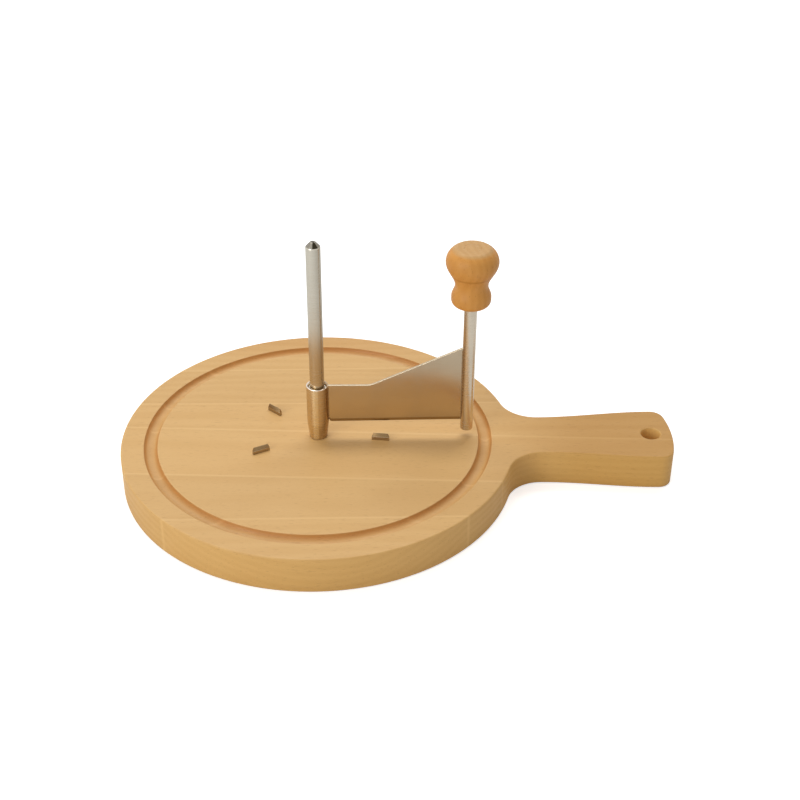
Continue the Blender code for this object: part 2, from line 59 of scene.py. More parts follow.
Colour = tuple[float, float, float]
Point = tuple[float, float]
Corner = tuple[float, float, float]
Socket = bpy.types.NodeSocket
Value = float | Sequence[float] | Socket
Feeds = dict[str | int, Value]
Ends = tuple[list[int], list[int]]

MERGE_DISTANCE = 1e-7
SHARP_ANGLE = math.radians(34)
WHITE = (1.0, 1.0, 1.0)
# Lies past the object on either side: the open end of a band of tint
FAR = 1.0
# Left between a piece and the seat it is pressed into, so that the seam shows as a hairline
HAIRLINE = 0.00005
# What a deburred, a broken and an eased edge are rounded to
CRISP, BROKEN, EASED = 0.0001, 0.0002, 0.0003


class Body(Enum):
    """The bodies that pieces ride on."""

    BASE = "base"
    GUIDE = "guide"
    SCRAPER = "scraper"
    KNOB = "knob"


class Slot(Enum):
    """The record's material slots."""

    BOARD_WOOD = "board_wood"
    TOOTH_STEEL = "tooth_steel"
    SPINDLE_STEEL = "spindle_steel"
    FIXING_STEEL = "fixing_steel"
    HUB_STEEL = "hub_steel"
    BLADE_STEEL = "blade_steel"
    POST_STEEL = "post_steel"
    KNOB_WOOD = "knob_wood"


class Grain(Enum):
    """How the wood's grain lies: the turn about Y that brings it onto the pattern's X axis."""

    ALONG_HANDLE = 0.0
    UPRIGHT = 90.0


class Axis(Enum):
    """The axis that a band of tint lies across."""

    X = "X"
    Y = "Y"
    Z = "Z"


class Kind(Enum):
    """What a socket of a node group carries."""

    NUMBER = "NodeSocketFloat"
    COUNT = "NodeSocketInt"
    COLOUR = "NodeSocketColor"
    VECTOR = "NodeSocketVector"
    SHAPE = "NodeSocketGeometry"
    OBJECT = "NodeSocketObject"
    MATERIAL = "NodeSocketMaterial"


def box_middle(node: str) -> Vector:
    """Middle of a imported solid's box."""
    low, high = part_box(node)
    return (low + high) / 2


def box_radius(node: str) -> float:
    """Radius of a turned solid, from its box."""
    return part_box(node)[1].x - box_middle(node).x


SPINDLE_X = box_middle("spindle").x
BOARD_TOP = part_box("board")[1].z


def on_spindle(height: float) -> Vector:
    """A point on the spindle's axis."""
    return Vector((SPINDLE_X, 0, height))


def clamped(value: float) -> float:
    """A value held between 0 and 1."""
    return min(1.0, max(0.0, value))


def arc(centre: Point, radius: float, start: float, end: float, steps: int) -> list[Point]:
    """Points on an arc.

    Args:
        centre: middle of the arc.
        radius: its radius.
        start: first angle in degrees.
        end: last angle in degrees.
        steps: number of chords.

    Returns:
        The points, both ends included.
    """
    angles = [math.radians(start + (end - start) * step / steps) for step in range(steps + 1)]
    return [(centre[0] + radius * math.cos(a), centre[1] + radius * math.sin(a)) for a in angles]


def softened(corners: Sequence[Corner], steps: int = 5) -> list[Point]:
    """Round the corners of an open profile.

    Args:
        corners: each corner's two coordinates and the radius it is rounded to.
        steps: chords in each rounding.

    Returns:
        The profile's points.
    """
    points: list[Point] = []
    for index, (x, y, radius) in enumerate(corners):
        here = Vector((x, y))
        if radius == 0 or index in (0, len(corners) - 1):
            points.append((x, y))
            continue
        back = (Vector(corners[index - 1][:2]) - here).normalized()
        ahead = (Vector(corners[index + 1][:2]) - here).normalized()
        half = back.angle(ahead) / 2
        centre = here + (back + ahead).normalized() * radius / math.sin(half)
        start = here + back * radius / math.tan(half) - centre
        turn = (here + ahead * radius / math.tan(half) - centre).angle_signed(start)
        for step in range(steps + 1):
            spoke = start.copy()
            spoke.rotate(Matrix.Rotation(turn * step / steps, 2))
            points.append(tuple(centre + spoke))
    return points


def ring_section(
    bore: float, outer: float, height: float, edges: Sequence[float], steps: int = 5
) -> list[Point]:
    """Closed section of a plain ring.

    Args:
        bore: radius of its hole.
        outer: its outer radius.
        height: its height.
        edges: rounding of the lower inner, lower outer, upper outer and upper inner edge.
        steps: chords in each rounding.

    Returns:
        The section's (radius, height) points, from halfway up the bore.
    """
    sides = ((bore, 0), (outer, 0), (outer, height), (bore, height))
    corners = [(*place, rounding) for place, rounding in zip(sides, edges)]
    middle = (bore, height / 2, 0)
    return softened([middle, *corners, middle], steps)[:-1]


def make_object(name: str, data: bpy.types.ID) -> bpy.types.Object:
    """Link a mesh, camera or light into the scene as a named object at the origin.

    Args:
        name: the object's name.
        data: what it holds.

    Returns:
        The object.
    """
    item = bpy.data.objects.new(name, data)
    bpy.context.scene.collection.objects.link(item)
    return item


def wire_mesh(name: str, points: Sequence[Sequence[float]], closed: bool) -> bpy.types.Object:
    """An object made of one chain of edges, for a tree to work on.

    Args:
        name: the object's name.
        points: the chain's points.
        closed: whether an edge joins the last point to the first.

    Returns:
        The object.
    """
    edges = [(index, index + 1) for index in range(len(points) - 1)]
    if closed:
        edges.append((len(points) - 1, 0))
    mesh = bpy.data.meshes.new(name)
    mesh.from_pydata([tuple(point) for point in points], edges, [])
    return make_object(name, mesh)


def mark_points(mesh: bpy.types.Mesh, name: str, values: Sequence[float]) -> None:
    """Write a value on each of a mesh's points, as a named attribute."""
    mesh.attributes.new(name, "FLOAT", "POINT").data.foreach_set("value", values)


def tidy_mesh(mesh: bpy.types.Mesh, place: Vector | None = None) -> None:
    """Merge doubles, turn faces outwards, smooth what is round and move the mesh to its place.

    Args:
        mesh: the closed mesh to finish.
        place: where its own origin belongs.
    """
    draft = bmesh.new()
    draft.from_mesh(mesh)
    bmesh.ops.remove_doubles(draft, verts=draft.verts, dist=MERGE_DISTANCE)
    bmesh.ops.dissolve_degenerate(draft, edges=draft.edges, dist=MERGE_DISTANCE)
    bmesh.ops.recalc_face_normals(draft, faces=draft.faces)
    draft.to_mesh(mesh)
    draft.free()
    mesh.shade_smooth()
    mesh.set_sharp_from_angle(angle=SHARP_ANGLE)
    if place is not None:
        mesh.transform(Matrix.Translation(place))


def hand_over(piece: bpy.types.Object, body: Body, slot: Slot, *nodes: str) -> None:
    """Hang a finished piece on the body that carries it and hide the solids that it stands for.

    Args:
        piece: the finished piece.
        body: the body that carries it.
        slot: the record's material slot; not used.
        nodes: the solids that it replaces.
    """
    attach(piece, body.value)
    if nodes:
        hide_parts(*nodes)
    log.info("%s: %d faces, on body %s", piece.name, len(piece.data.polygons), body.value)


class Wiring:
    """Adds nodes to one tree and joins them."""

    def __init__(self, tree: bpy.types.NodeTree) -> None:
        """Start on a tree."""
        self.tree = tree

    def feed(self, sockets: bpy.types.bpy_prop_collection, feeds: Feeds) -> None:
        """Join other sockets to inputs, or write constants on them.

        Args:
            sockets: the inputs.
            feeds: what goes into each, by name or number.
        """
        for key, value in feeds.items():
            if isinstance(value, Socket):
                self.tree.links.new(value, sockets[key])
            elif sockets[key].type == "RGBA" and len(value) == 3:
                sockets[key].default_value = (*value, 1.0)
            else:
                sockets[key].default_value = value

    def node(self, kind: str, feeds: Feeds | None = None, **settings: object) -> bpy.types.Node:
        """Add a node.

        Args:
            kind: Blender's name for the node.
            feeds: what goes into its inputs, by name or number.
            settings: its own options.

        Returns:
            The node.
        """
        made = self.tree.nodes.new(kind)
        for key, value in settings.items():
            setattr(made, key, value)
        self.feed(made.inputs, feeds or {})
        return made

    def math(self, operation: str, first: Value, second: Value = 0.0) -> Socket:
        """One step of arithmetic."""
        return self.node("ShaderNodeMath", {0: first, 1: second}, operation=operation).outputs[0]

    def plus(self, first: Value, second: Value) -> Socket:
        """Sum of two values."""
        return self.math("ADD", first, second)

    def times(self, first: Value, second: Value) -> Socket:
        """Product of two values."""
        return self.math("MULTIPLY", first, second)

    def ramp(self, value: Value, low: float, high: float, start: float = 0.0, end: float = 1.0) -> Socket:
        """Carry a value smoothly from one range into another, held at both ends."""
        feeds = {"Value": value, "From Min": low, "From Max": high, "To Min": start, "To Max": end}
        return self.node("ShaderNodeMapRange", feeds, interpolation_type="SMOOTHSTEP").outputs["Result"]

    def mix(self, share: Value, first: Value, second: Value, blend: str = "MIX") -> Socket:
        """Blend two colours."""
        feeds = {0: share, 6: first, 7: second}
        return self.node("ShaderNodeMix", feeds, data_type="RGBA", blend_type=blend).outputs[2]

    def split(self, vector: Value) -> bpy.types.bpy_prop_collection:
        """A vector's three parts."""
        return self.node("ShaderNodeSeparateXYZ", {0: vector}).outputs

    def join(self, x: Value, y: Value, z: Value) -> Socket:
        """A vector from its three parts."""
        return self.node("ShaderNodeCombineXYZ", {"X": x, "Y": y, "Z": z}).outputs[0]

    def scaled(self, vector: Value, scale: Sequence[float]) -> Socket:
        """Stretch a vector by a factor on each axis."""
        return self.node("ShaderNodeVectorMath", {0: vector, 1: scale}, operation="MULTIPLY").outputs[0]

    def noise(self, vector: Value, scale: Sequence[float], detail: float) -> Socket:
        """Noise with its own frequency on each axis, from 0 to 1."""
        feeds = {"Vector": self.scaled(vector, scale), "Scale": 1.0, "Detail": detail}
        return self.node("ShaderNodeTexNoise", feeds).outputs["Fac"]


class NodeGroup:
    """A node tree with named inputs and outputs, shared by several materials or objects."""

    def __init__(self, name: str, tree: str, inputs: dict[str, Kind], outputs: dict[str, Kind]) -> None:
        """Make the empty tree.

        Args:
            name: name of the tree.
            tree: Blender's type of tree.
            inputs: names and kinds of its inputs.
            outputs: names and kinds of its outputs.
        """
        self.tree = bpy.data.node_groups.new(name, tree)
        for side, sockets in (("INPUT", inputs), ("OUTPUT", outputs)):
            for label, kind in sockets.items():
                self.tree.interface.new_socket(label, in_out=side, socket_type=kind.value)
        self.wiring = Wiring(self.tree)
        self.given = self.wiring.node("NodeGroupInput").outputs
        self.result = self.wiring.node("NodeGroupOutput").inputs

    def place(self, w: Wiring, feeds: Feeds) -> bpy.types.bpy_prop_collection:
        """Put a shader group into a material's tree and feed it.

        Args:
            w: the material's wiring.
            feeds: what goes into the group's inputs.

        Returns:
            The group's outputs there.
        """
        return w.node("ShaderNodeGroup", feeds, node_tree=self.tree).outputs


class GrainGroup(NodeGroup):
    """Beech: growth rings, fine streaks along the grain and short dark flecks.

    Each pattern has its cycles per metre along the grain and both ways across it, and its layers of detail.
    The shares add up to twice the middle tone.
    """

    PITH = (0.02, -0.13)
    WANDER, WANDER_REACH = ((7, 26, 26), 3), 0.011
    STREAKS, MOTTLE = ((22, 420, 420), 4), ((11, 52, 52), 2)
    RING_SHARE, STREAK_SHARE, MOTTLE_SHARE = 0.30, 0.35, 0.55
    MIDDLE_TONE, MIDDLE_SHARE = 0.6, 0.5
    FLECKS, FLECK_RANGE = ((240, 1500, 1500), 1), (0.60, 0.74)
    SPECKS, SPECK_RANGE, SPECK_SHARE = ((900, 5200, 5200), 1), (0.55, 0.75), 0.35
    MARK_DEPTH = 0.5

    def __init__(self) -> None:
        """Build the group. Its vector's X axis runs along the grain."""
        super().__init__(
            "beech_grain",
            "ShaderNodeTree",
            {
                "Vector": Kind.VECTOR,
                "Pale": Kind.COLOUR,
                "Deep": Kind.COLOUR,
                "Fleck": Kind.COLOUR,
                "Ring Pitch": Kind.NUMBER,
                "Figure": Kind.NUMBER,
                "Flecking": Kind.NUMBER,
            },
            {"Color": Kind.COLOUR, "Tone": Kind.NUMBER, "Height": Kind.NUMBER},
        )
        w, given = self.wiring, self.given
        vector = given["Vector"]
        parts = w.split(vector)
        wander = w.times(w.noise(vector, *self.WANDER), self.WANDER_REACH)
        aside = w.math("POWER", w.plus(parts["Y"], -self.PITH[0]), 2)
        below = w.math("POWER", w.plus(parts["Z"], -self.PITH[1]), 2)
        radius = w.plus(w.math("SQRT", w.plus(aside, below)), wander)
        turns = w.times(w.math("DIVIDE", radius, given["Ring Pitch"]), math.tau)
        rings = w.ramp(w.math("SINE", turns), -1.0, 1.0)
        streaks = w.noise(vector, *self.STREAKS)
        mottle = w.noise(vector, *self.MOTTLE)
        tone = w.plus(w.times(rings, self.RING_SHARE), w.times(streaks, self.STREAK_SHARE))
        tone = w.plus(tone, w.times(mottle, self.MOTTLE_SHARE))
        figure = w.times(w.math("SUBTRACT", tone, self.MIDDLE_TONE), given["Figure"])
        flecks = w.ramp(w.noise(vector, *self.FLECKS), *self.FLECK_RANGE)
        specks = w.ramp(w.noise(vector, *self.SPECKS), *self.SPECK_RANGE)
        marks = w.plus(flecks, w.times(specks, self.SPECK_SHARE))
        colour = w.mix(w.plus(figure, self.MIDDLE_SHARE), given["Pale"], given["Deep"])
        colour = w.mix(w.times(marks, given["Flecking"]), colour, given["Fleck"])
        height = w.math("SUBTRACT", streaks, w.times(marks, self.MARK_DEPTH))
        w.feed(self.result, {"Color": colour, "Tone": tone, "Height": height})


class TintGroup(NodeGroup):
    """Tints a colour where a mask says so, as in a groove, on a cut wall or in a crease: mostly painted
    light or shade.
    """

    def __init__(self) -> None:
        """Build the group."""
        super().__init__(
            "zone_tint",
            "ShaderNodeTree",
            {"Color": Kind.COLOUR, "Mask": Kind.NUMBER, "Tint": Kind.COLOUR},
            {"Color": Kind.COLOUR},
        )
        w, given = self.wiring, self.given
        tinted = w.mix(1.0, given["Color"], given["Tint"], "MULTIPLY")
        w.feed(self.result, {"Color": w.mix(given["Mask"], given["Color"], tinted)})


class LinesGroup(NodeGroup):
    """Fine lines that drawing or grinding leaves on steel, and the dullness of handling."""

    LINES, SMEARS = ((70, 70, 1), 3), ((60, 60, 38), 3)

    def __init__(self) -> None:
        """Build the group. The lines run across its vector's Z axis."""
        super().__init__(
            "drawn_lines",
            "ShaderNodeTree",
            {"Vector": Kind.VECTOR, "Density": Kind.NUMBER},
            {"Lines": Kind.NUMBER, "Dullness": Kind.NUMBER},
        )
        w, vector = self.wiring, self.given["Vector"]
        parts = w.split(vector)
        fine = w.join(parts["X"], parts["Y"], w.times(parts["Z"], self.given["Density"]))
        lines, smears = w.noise(fine, *self.LINES), w.noise(vector, *self.SMEARS)
        w.feed(self.result, {"Lines": lines, "Dullness": smears})


@dataclass(frozen=True)
class Groups:
    """The shared node groups, each built once."""

    grain: GrainGroup = field(default_factory=GrainGroup)
    tint: TintGroup = field(default_factory=TintGroup)
    lines: LinesGroup = field(default_factory=LinesGroup)


GROUPS = Groups()


@dataclass(frozen=True)
class Zone:
    """Part of a piece with its own tint: an attribute's name, or a soft band across one axis.

    A band that is given one end runs on past the piece at the other. Most zones hold painted light, shade
    or reflections.
    """

    tint: Colour
    attribute: str = ""
    axis: Axis = Axis.Z
    low: float = -FAR
    high: float = FAR
    soft: float = 0.001

    def mask(self, w: Wiring, place: Socket) -> Socket:
        """The zone's mask.

        Args:
            w: the material's wiring.
            place: the material's Object coordinates.

        Returns:
            A value from 0 to 1.
        """
        if self.attribute:
            return w.node("ShaderNodeAttribute", attribute_name=self.attribute).outputs["Fac"]
        along = w.split(place)[self.axis.value]
        start = w.ramp(along, self.low, self.low + self.soft)
        return w.times(start, w.ramp(along, self.high - self.soft, self.high, 1.0, 0.0))

    def apply(self, w: Wiring, colour: Value, place: Socket) -> Socket:
        """Tint a colour inside the zone, by the shared group."""
        feeds = {"Color": colour, "Mask": self.mask(w, place), "Tint": self.tint}
        return GROUPS.tint.place(w, feeds)["Color"]


@dataclass(frozen=True)
class GlueLine:
    """Where two staves meet: how far from the spindle the line passes, and its slope."""

    offset: float
    slope: float


def start_material(name: str) -> tuple[bpy.types.Material, Wiring, bpy.types.Node, Socket]:
    """Start a material on Blender's Principled shader.

    Args:
        name: the material's name.

    Returns:
        The material, its wiring, its shader and its Object coordinates.
    """
    material = bpy.data.materials.new(name)
    material.use_nodes = True
    wiring = Wiring(material.node_tree)
    shader = material.node_tree.nodes["Principled BSDF"]
    return material, wiring, shader, wiring.node("ShaderNodeTexCoord").outputs["Object"]


@dataclass(frozen=True)
class WoodFinish:
    """Satin beech, as one stave or several glued side by side."""

    name: str
    pale: Colour
    deep: Colour
    fleck: Colour
    grain: Grain
    centre: tuple[float, float, float]
    # Roughness, and how far it falls and rises over the range of the grain's tone
    roughness: float = 0.46
    smoother: float = 0.05
    rougher: float = 0.07
    tone_range: tuple[float, float] = (0.2, 1.0)
    specular: float = 0.35
    coat: float = 0.0
    coat_roughness: float = 0.3
    ring_pitch: float = 0.0042
    figure: float = 1.0
    flecking: float = 0.5
    relief: float = 0.00008
    relief_strength: float = 0.35
    glue_lines: tuple[GlueLine, ...] = ()
    glue: Colour = (0.76, 0.495, 0.215)
    glue_share: float = 0.55
    glue_width: float = 0.0014
    stave_shift: tuple[float, float, float] = (0.9, 0.13, 0.05)
    stave_tones: tuple[float, float] = (0.985, 1.02)
    zones: tuple[Zone, ...] = ()

    def material(self) -> bpy.types.Material:
        """Build the material.

        Returns:
            The material, with grain, staves, tinted zones of painted light and shade, and a fine relief.
        """
        material, w, shader, place = start_material(self.name)
        turn = (0.0, math.radians(self.grain.value), 0.0)
        feeds = {"Vector": place, "Location": self.centre, "Rotation": turn}
        tone, line, laid = self.staves(w, w.node("ShaderNodeMapping", feeds).outputs[0])
        feeds = {
            "Vector": laid,
            "Pale": self.pale,
            "Deep": self.deep,
            "Fleck": self.fleck,
            "Ring Pitch": self.ring_pitch,
            "Figure": self.figure,
            "Flecking": self.flecking,
        }
        beech = GROUPS.grain.place(w, feeds)
        colour = w.mix(1.0, beech["Color"], tone, "MULTIPLY")
        colour = w.mix(w.times(line, self.glue_share), colour, self.glue)
        for zone in self.zones:
            colour = zone.apply(w, colour, place)
        smooth, rough = self.roughness - self.smoother, self.roughness + self.rougher
        feeds = {"Strength": self.relief_strength, "Distance": self.relief, "Height": beech["Height"]}
        feeds = {
            "Base Color": colour,
            "Roughness": w.ramp(beech["Tone"], *self.tone_range, smooth, rough),
            "Normal": w.node("ShaderNodeBump", feeds).outputs["Normal"],
            "Specular IOR Level": self.specular,
            "Coat Weight": self.coat,
            "Coat Roughness": self.coat_roughness,
        }
        w.feed(shader.inputs, feeds)
        return material

    def staves(self, w: Wiring, laid: Socket) -> tuple[Value, Value, Socket]:
        """Give each stave its own tone and its own part of the pattern.

        Args:
            w: the material's wiring.
            laid: coordinates along the grain.

        Returns:
            The stave's tone as a grey, the mask of the glue lines, and the shifted coordinates.
        """
        if not self.glue_lines:
            return WHITE, 0.0, laid
        parts = w.split(laid)
        number: Value = 0.0
        nearest: Value = 1.0
        for line in self.glue_lines:
            lean = w.times(parts["X"], -line.slope)
            aside = w.plus(w.plus(parts["Y"], lean), -line.offset)
            number = w.plus(number, w.math("GREATER_THAN", aside, 0.0))
            nearest = w.math("MINIMUM", nearest, w.math("ABSOLUTE", aside))
        chance = w.node("ShaderNodeTexWhiteNoise", {"W": number}, noise_dimensions="1D").outputs
        shift = w.scaled(chance["Color"], self.stave_shift)
        moved = w.node("ShaderNodeVectorMath", {0: laid, 1: shift}, operation="ADD").outputs[0]
        tone = w.ramp(chance["Value"], 0.0, 1.0, *self.stave_tones)
        return w.join(tone, tone, tone), w.ramp(nearest, 0.0, self.glue_width, 1.0, 0.0), moved


@dataclass(frozen=True)
class MetalFinish:
    """Metal with fine lines left by drawing, turning or grinding."""

    name: str
    bright: Colour
    dull: Colour
    roughness: float = 0.25
    spread: float = 0.08
    density: float = 5200.0
    relief: float = 0.000004
    relief_strength: float = 0.3
    mark_range: tuple[float, float] = (0.6, 1.4)
    stretch: float = 0.0
    stretch_turn: float = 0.25
    zones: tuple[Zone, ...] = ()

    def material(self) -> bpy.types.Material:
        """Build the material.

        Returns:
            The material, with lines in its relief, uneven gloss and, where it is turned about Z,
            highlights drawn out along Z.
        """
        material, w, shader, place = start_material(self.name)
        marks = GROUPS.lines.place(w, {"Vector": place, "Density": self.density})
        share = w.ramp(w.plus(marks["Lines"], marks["Dullness"]), *self.mark_range)
        colour = w.mix(share, self.bright, self.dull)
        for zone in self.zones:
            colour = zone.apply(w, colour, place)
        low, high = self.roughness - self.spread / 2, self.roughness + self.spread / 2
        relief = {"Strength": self.relief_strength, "Distance": self.relief, "Height": marks["Lines"]}
        feeds = {
            "Base Color": colour,
            "Roughness": w.ramp(share, 0.0, 1.0, low, high),
            "Normal": w.node("ShaderNodeBump", relief).outputs["Normal"],
            "Metallic": 1.0,
        }
        if self.stretch:
            tangent = w.node("ShaderNodeTangent", direction_type="RADIAL", axis="Z").outputs["Tangent"]
            feeds |= {"Anisotropic": self.stretch, "Anisotropic Rotation": self.stretch_turn}
            feeds["Tangent"] = tangent
        w.feed(shader.inputs, feeds)
        return material


def plain_steel(name: str) -> bpy.types.Material:
    """The grey steel of the screws and washers."""
    return MetalFinish(name, (0.58, 0.58, 0.56), (0.47, 0.47, 0.46), 0.32).material()


class ShapeTree(NodeGroup):
    """A Geometry Nodes tree that makes a piece's mesh."""

    def __init__(self, name: str, inputs: dict[str, Kind]) -> None:
        """Make the tree with its own inputs, and the finish.

        Args:
            name: name of the tree.
            inputs: names and kinds of its inputs, what the object's own mesh is first.
        """
        inputs = {**inputs, "Finish": Kind.MATERIAL}
        super().__init__(name, "GeometryNodeTree", inputs, {"Geometry": Kind.SHAPE})

    def end_with(self, shape: Socket) -> None:
        """Close the tree: make instances real, set the material and hand the shape out.

        Args:
            shape: what the tree has made.
        """
        real = self.wiring.node("GeometryNodeRealizeInstances", {"Geometry": shape}).outputs[0]
        feeds = {"Geometry": real, "Material": self.given["Finish"]}
        dressed = self.wiring.node("GeometryNodeSetMaterial", feeds).outputs[0]
        self.wiring.feed(self.result, {"Geometry": dressed})

    def run(self, piece: bpy.types.Object, inputs: dict[str, object], place: Vector | None = None) -> None:
        """Run the tree on an object and keep what it makes as the object's plain mesh.

        Args:
            piece: the object, whose mesh the tree starts from.
            inputs: values of the tree's named inputs.
            place: where the mesh's own origin belongs.
        """
        modifier = piece.modifiers.new(self.tree.name, "NODES")
        modifier.node_group = self.tree
        for item in self.tree.interface.items_tree:
            if item.in_out == "INPUT" and item.name in inputs:
                modifier[item.identifier] = inputs[item.name]
        graph = bpy.context.evaluated_depsgraph_get()
        mesh = bpy.data.meshes.new_from_object(piece.evaluated_get(graph), depsgraph=graph)
        piece.modifiers.remove(modifier)
        mesh.name = piece.name
        piece.data = mesh
        tidy_mesh(mesh, place)


class LatheTree(ShapeTree):
    """Geometry Nodes that turn a profile about the upright line through the origin.

    The profile is a chain of edges. Its X is the radius less the arm, and its Y is the height, negated.
    """

    ARM = 0.05

    def __init__(self) -> None:
        """Build the tree."""
        super().__init__("lathe", {"Profile": Kind.SHAPE, "Steps": Kind.COUNT, "Arm": Kind.NUMBER})
        w, given = self.wiring, self.given
        feeds = {"Resolution": given["Steps"], "Radius": given["Arm"]}
        circle = w.node("GeometryNodeCurvePrimitiveCircle", feeds).outputs["Curve"]
        profile = w.node("GeometryNodeMeshToCurve", {"Mesh": given["Profile"]}).outputs[0]
        sweep = w.node("GeometryNodeCurveToMesh", {"Curve": circle, "Profile Curve": profile})
        feeds = {"Geometry": sweep.outputs[0], "Distance": MERGE_DISTANCE}
        self.end_with(w.node("GeometryNodeMergeByDistance", feeds).outputs[0])

    def turn(
        self,
        name: str,
        profile: Sequence[Point],
        steps: int,
        finish: bpy.types.Material,
        place: Vector,
        ring: bool = False,
    ) -> bpy.types.Object:
        """Turn one piece.

        Args:
            name: name of the piece.
            profile: its (radius, height) points, heights from its own base.
            steps: faces round the piece.
            finish: its material.
            place: where the axis and the base belong.
            ring: whether the profile closes on itself.

        Returns:
            The piece as a plain mesh.
        """
        piece = wire_mesh(name, [(radius - self.ARM, -height, 0.0) for radius, height in profile], ring)
        self.run(piece, {"Steps": steps, "Arm": self.ARM, "Finish": finish}, place)
        return piece


class StandTree(ShapeTree):
    """Geometry Nodes that stand one shape on marked points, each turned to its own bearing."""

    def __init__(self) -> None:
        """Build the tree, which reads each point's turn in radians from its attribute 'bearing'."""
        super().__init__("stand_on_points", {"Points": Kind.SHAPE, "Shape": Kind.OBJECT})
        w, given = self.wiring, self.given
        shape = w.node("GeometryNodeObjectInfo", {"Object": given["Shape"], "As Instance": True})
        bearing = w.node("GeometryNodeInputNamedAttribute", {"Name": "bearing"}, data_type="FLOAT")
        turn = w.join(0.0, 0.0, bearing.outputs["Attribute"])
        feeds = {"Points": given["Points"], "Instance": shape.outputs["Geometry"], "Rotation": turn}
        self.end_with(w.node("GeometryNodeInstanceOnPoints", feeds).outputs[0])


class BeadTree(ShapeTree):
    """Geometry Nodes that run a rippled weld bead along a chain of edges."""

    RINGS_PER_RIPPLE = 6.0
    FACES_ROUND = 14
    UNEVEN_SCALE, UNEVEN_SHARE = 400.0, 0.3
    THINNEST = 0.85

    def __init__(self) -> None:
        """Build the tree."""
        super().__init__(
            "weld_bead",
            {
                "Path": Kind.SHAPE,
                "Bead Radius": Kind.NUMBER,
                "Ripple": Kind.NUMBER,
                "Pitch": Kind.NUMBER,
                "Seed": Kind.NUMBER,
            },
        )
        w, given = self.wiring, self.given
        path = w.node("GeometryNodeMeshToCurve", {"Mesh": given["Path"]}).outputs[0]
        feeds = {"Curve": path, "Length": w.math("DIVIDE", given["Pitch"], self.RINGS_PER_RIPPLE)}
        fine = w.node("GeometryNodeResampleCurve", feeds, mode="LENGTH").outputs[0]
        along = w.node("GeometryNodeSplineParameter").outputs["Length"]
        beats = w.times(w.math("DIVIDE", along, given["Pitch"]), math.tau)
        wave = w.times(w.math("SINE", beats), given["Ripple"])
        feeds = {"W": w.plus(given["Seed"], w.times(along, self.UNEVEN_SCALE)), "Scale": 1.0}
        uneven = w.node("ShaderNodeTexNoise", feeds, noise_dimensions="1D").outputs["Fac"]
        swell = w.plus(w.plus(wave, w.times(uneven, self.UNEVEN_SHARE)), self.THINNEST)
        swell = w.times(swell, given["Bead Radius"])
        feeds = {"Resolution": self.FACES_ROUND, "Radius": 1.0}
        rim = w.node("GeometryNodeCurvePrimitiveCircle", feeds).outputs["Curve"]
        feeds = {"Curve": fine, "Profile Curve": rim, "Scale": swell, "Fill Caps": True}
        self.end_with(w.node("GeometryNodeCurveToMesh", feeds).outputs[0])


class Draft:
    """Loops of points and the faces between them, while a mesh is drawn up."""

    def __init__(self, *masks: str) -> None:
        """Start an empty draft.

        Args:
            masks: names of the point attributes that loops may carry.
        """
        self.points: list[Vector] = []
        self.faces: list[tuple[int, ...]] = []
        self.masks: dict[str, list[float]] = {name: [] for name in masks}

    def loop(self, points: Sequence[Sequence[float]], **masks: float | list[float]) -> list[int]:
        """Add points.

        Args:
            points: the points of one closed loop.
            masks: each attribute's value on the whole loop or on each point, 0 where not given.

        Returns:
            The points' numbers.
        """
        first = len(self.points)
        self.points.extend(Vector(point) for point in points)
        for name, values in self.masks.items():
            given = masks.get(name, 0.0)
            values.extend(given if isinstance(given, list) else [given] * len(points))
        return list(range(first, len(self.points)))

    def bridge(self, loops: Sequence[list[int]]) -> Ends:
        """Join each loop to the next one with a strip of four-sided faces.

        Args:
            loops: the loops in order, all of the same length.

        Returns:
            The first and the last loop.
        """
        for near, far in zip(loops, loops[1:]):
            for index in range(len(near)):
                after = (index + 1) % len(near)
                self.faces.append((near[index], near[after], far[after], far[index]))
        return loops[0], loops[-1]

    def close(self, loops: Sequence[list[int]]) -> None:
        """Bridge loops and close both ends with one face each."""
        self.faces.extend([tuple(end) for end in self.bridge(loops)])

    def fill(self, outer: Sequence[int], holes: Sequence[Sequence[int]] = ()) -> None:
        """Close a flat region.

        Args:
            outer: the loop round the region.
            holes: the loops of the holes in it.
        """
        numbers: list[int] = []
        rims: list[list[int]] = []
        for loop in (outer, *holes):
            rims.append(list(range(len(numbers), len(numbers) + len(loop))))
            numbers.extend(loop)
        flat = [self.points[number].xy for number in numbers]
        _, _, triangles, origins, _, inside = delaunay_2d_cdt(flat, [], rims, 0, MERGE_DISTANCE, True)
        for triangle, regions in zip(triangles, inside):
            if list(regions) == [0]:
                self.faces.append(tuple(numbers[origins[corner][0]] for corner in triangle))

    def mesh(self, name: str) -> bpy.types.Mesh:
        """Finish the mesh, with its masks as point attributes.

        Args:
            name: the mesh's name.

        Returns:
            The mesh.
        """
        mesh = bpy.data.meshes.new(name)
        mesh.from_pydata([tuple(point) for point in self.points], [], self.faces)
        for label, values in self.masks.items():
            mark_points(mesh, label, values)
        tidy_mesh(mesh)
        return mesh


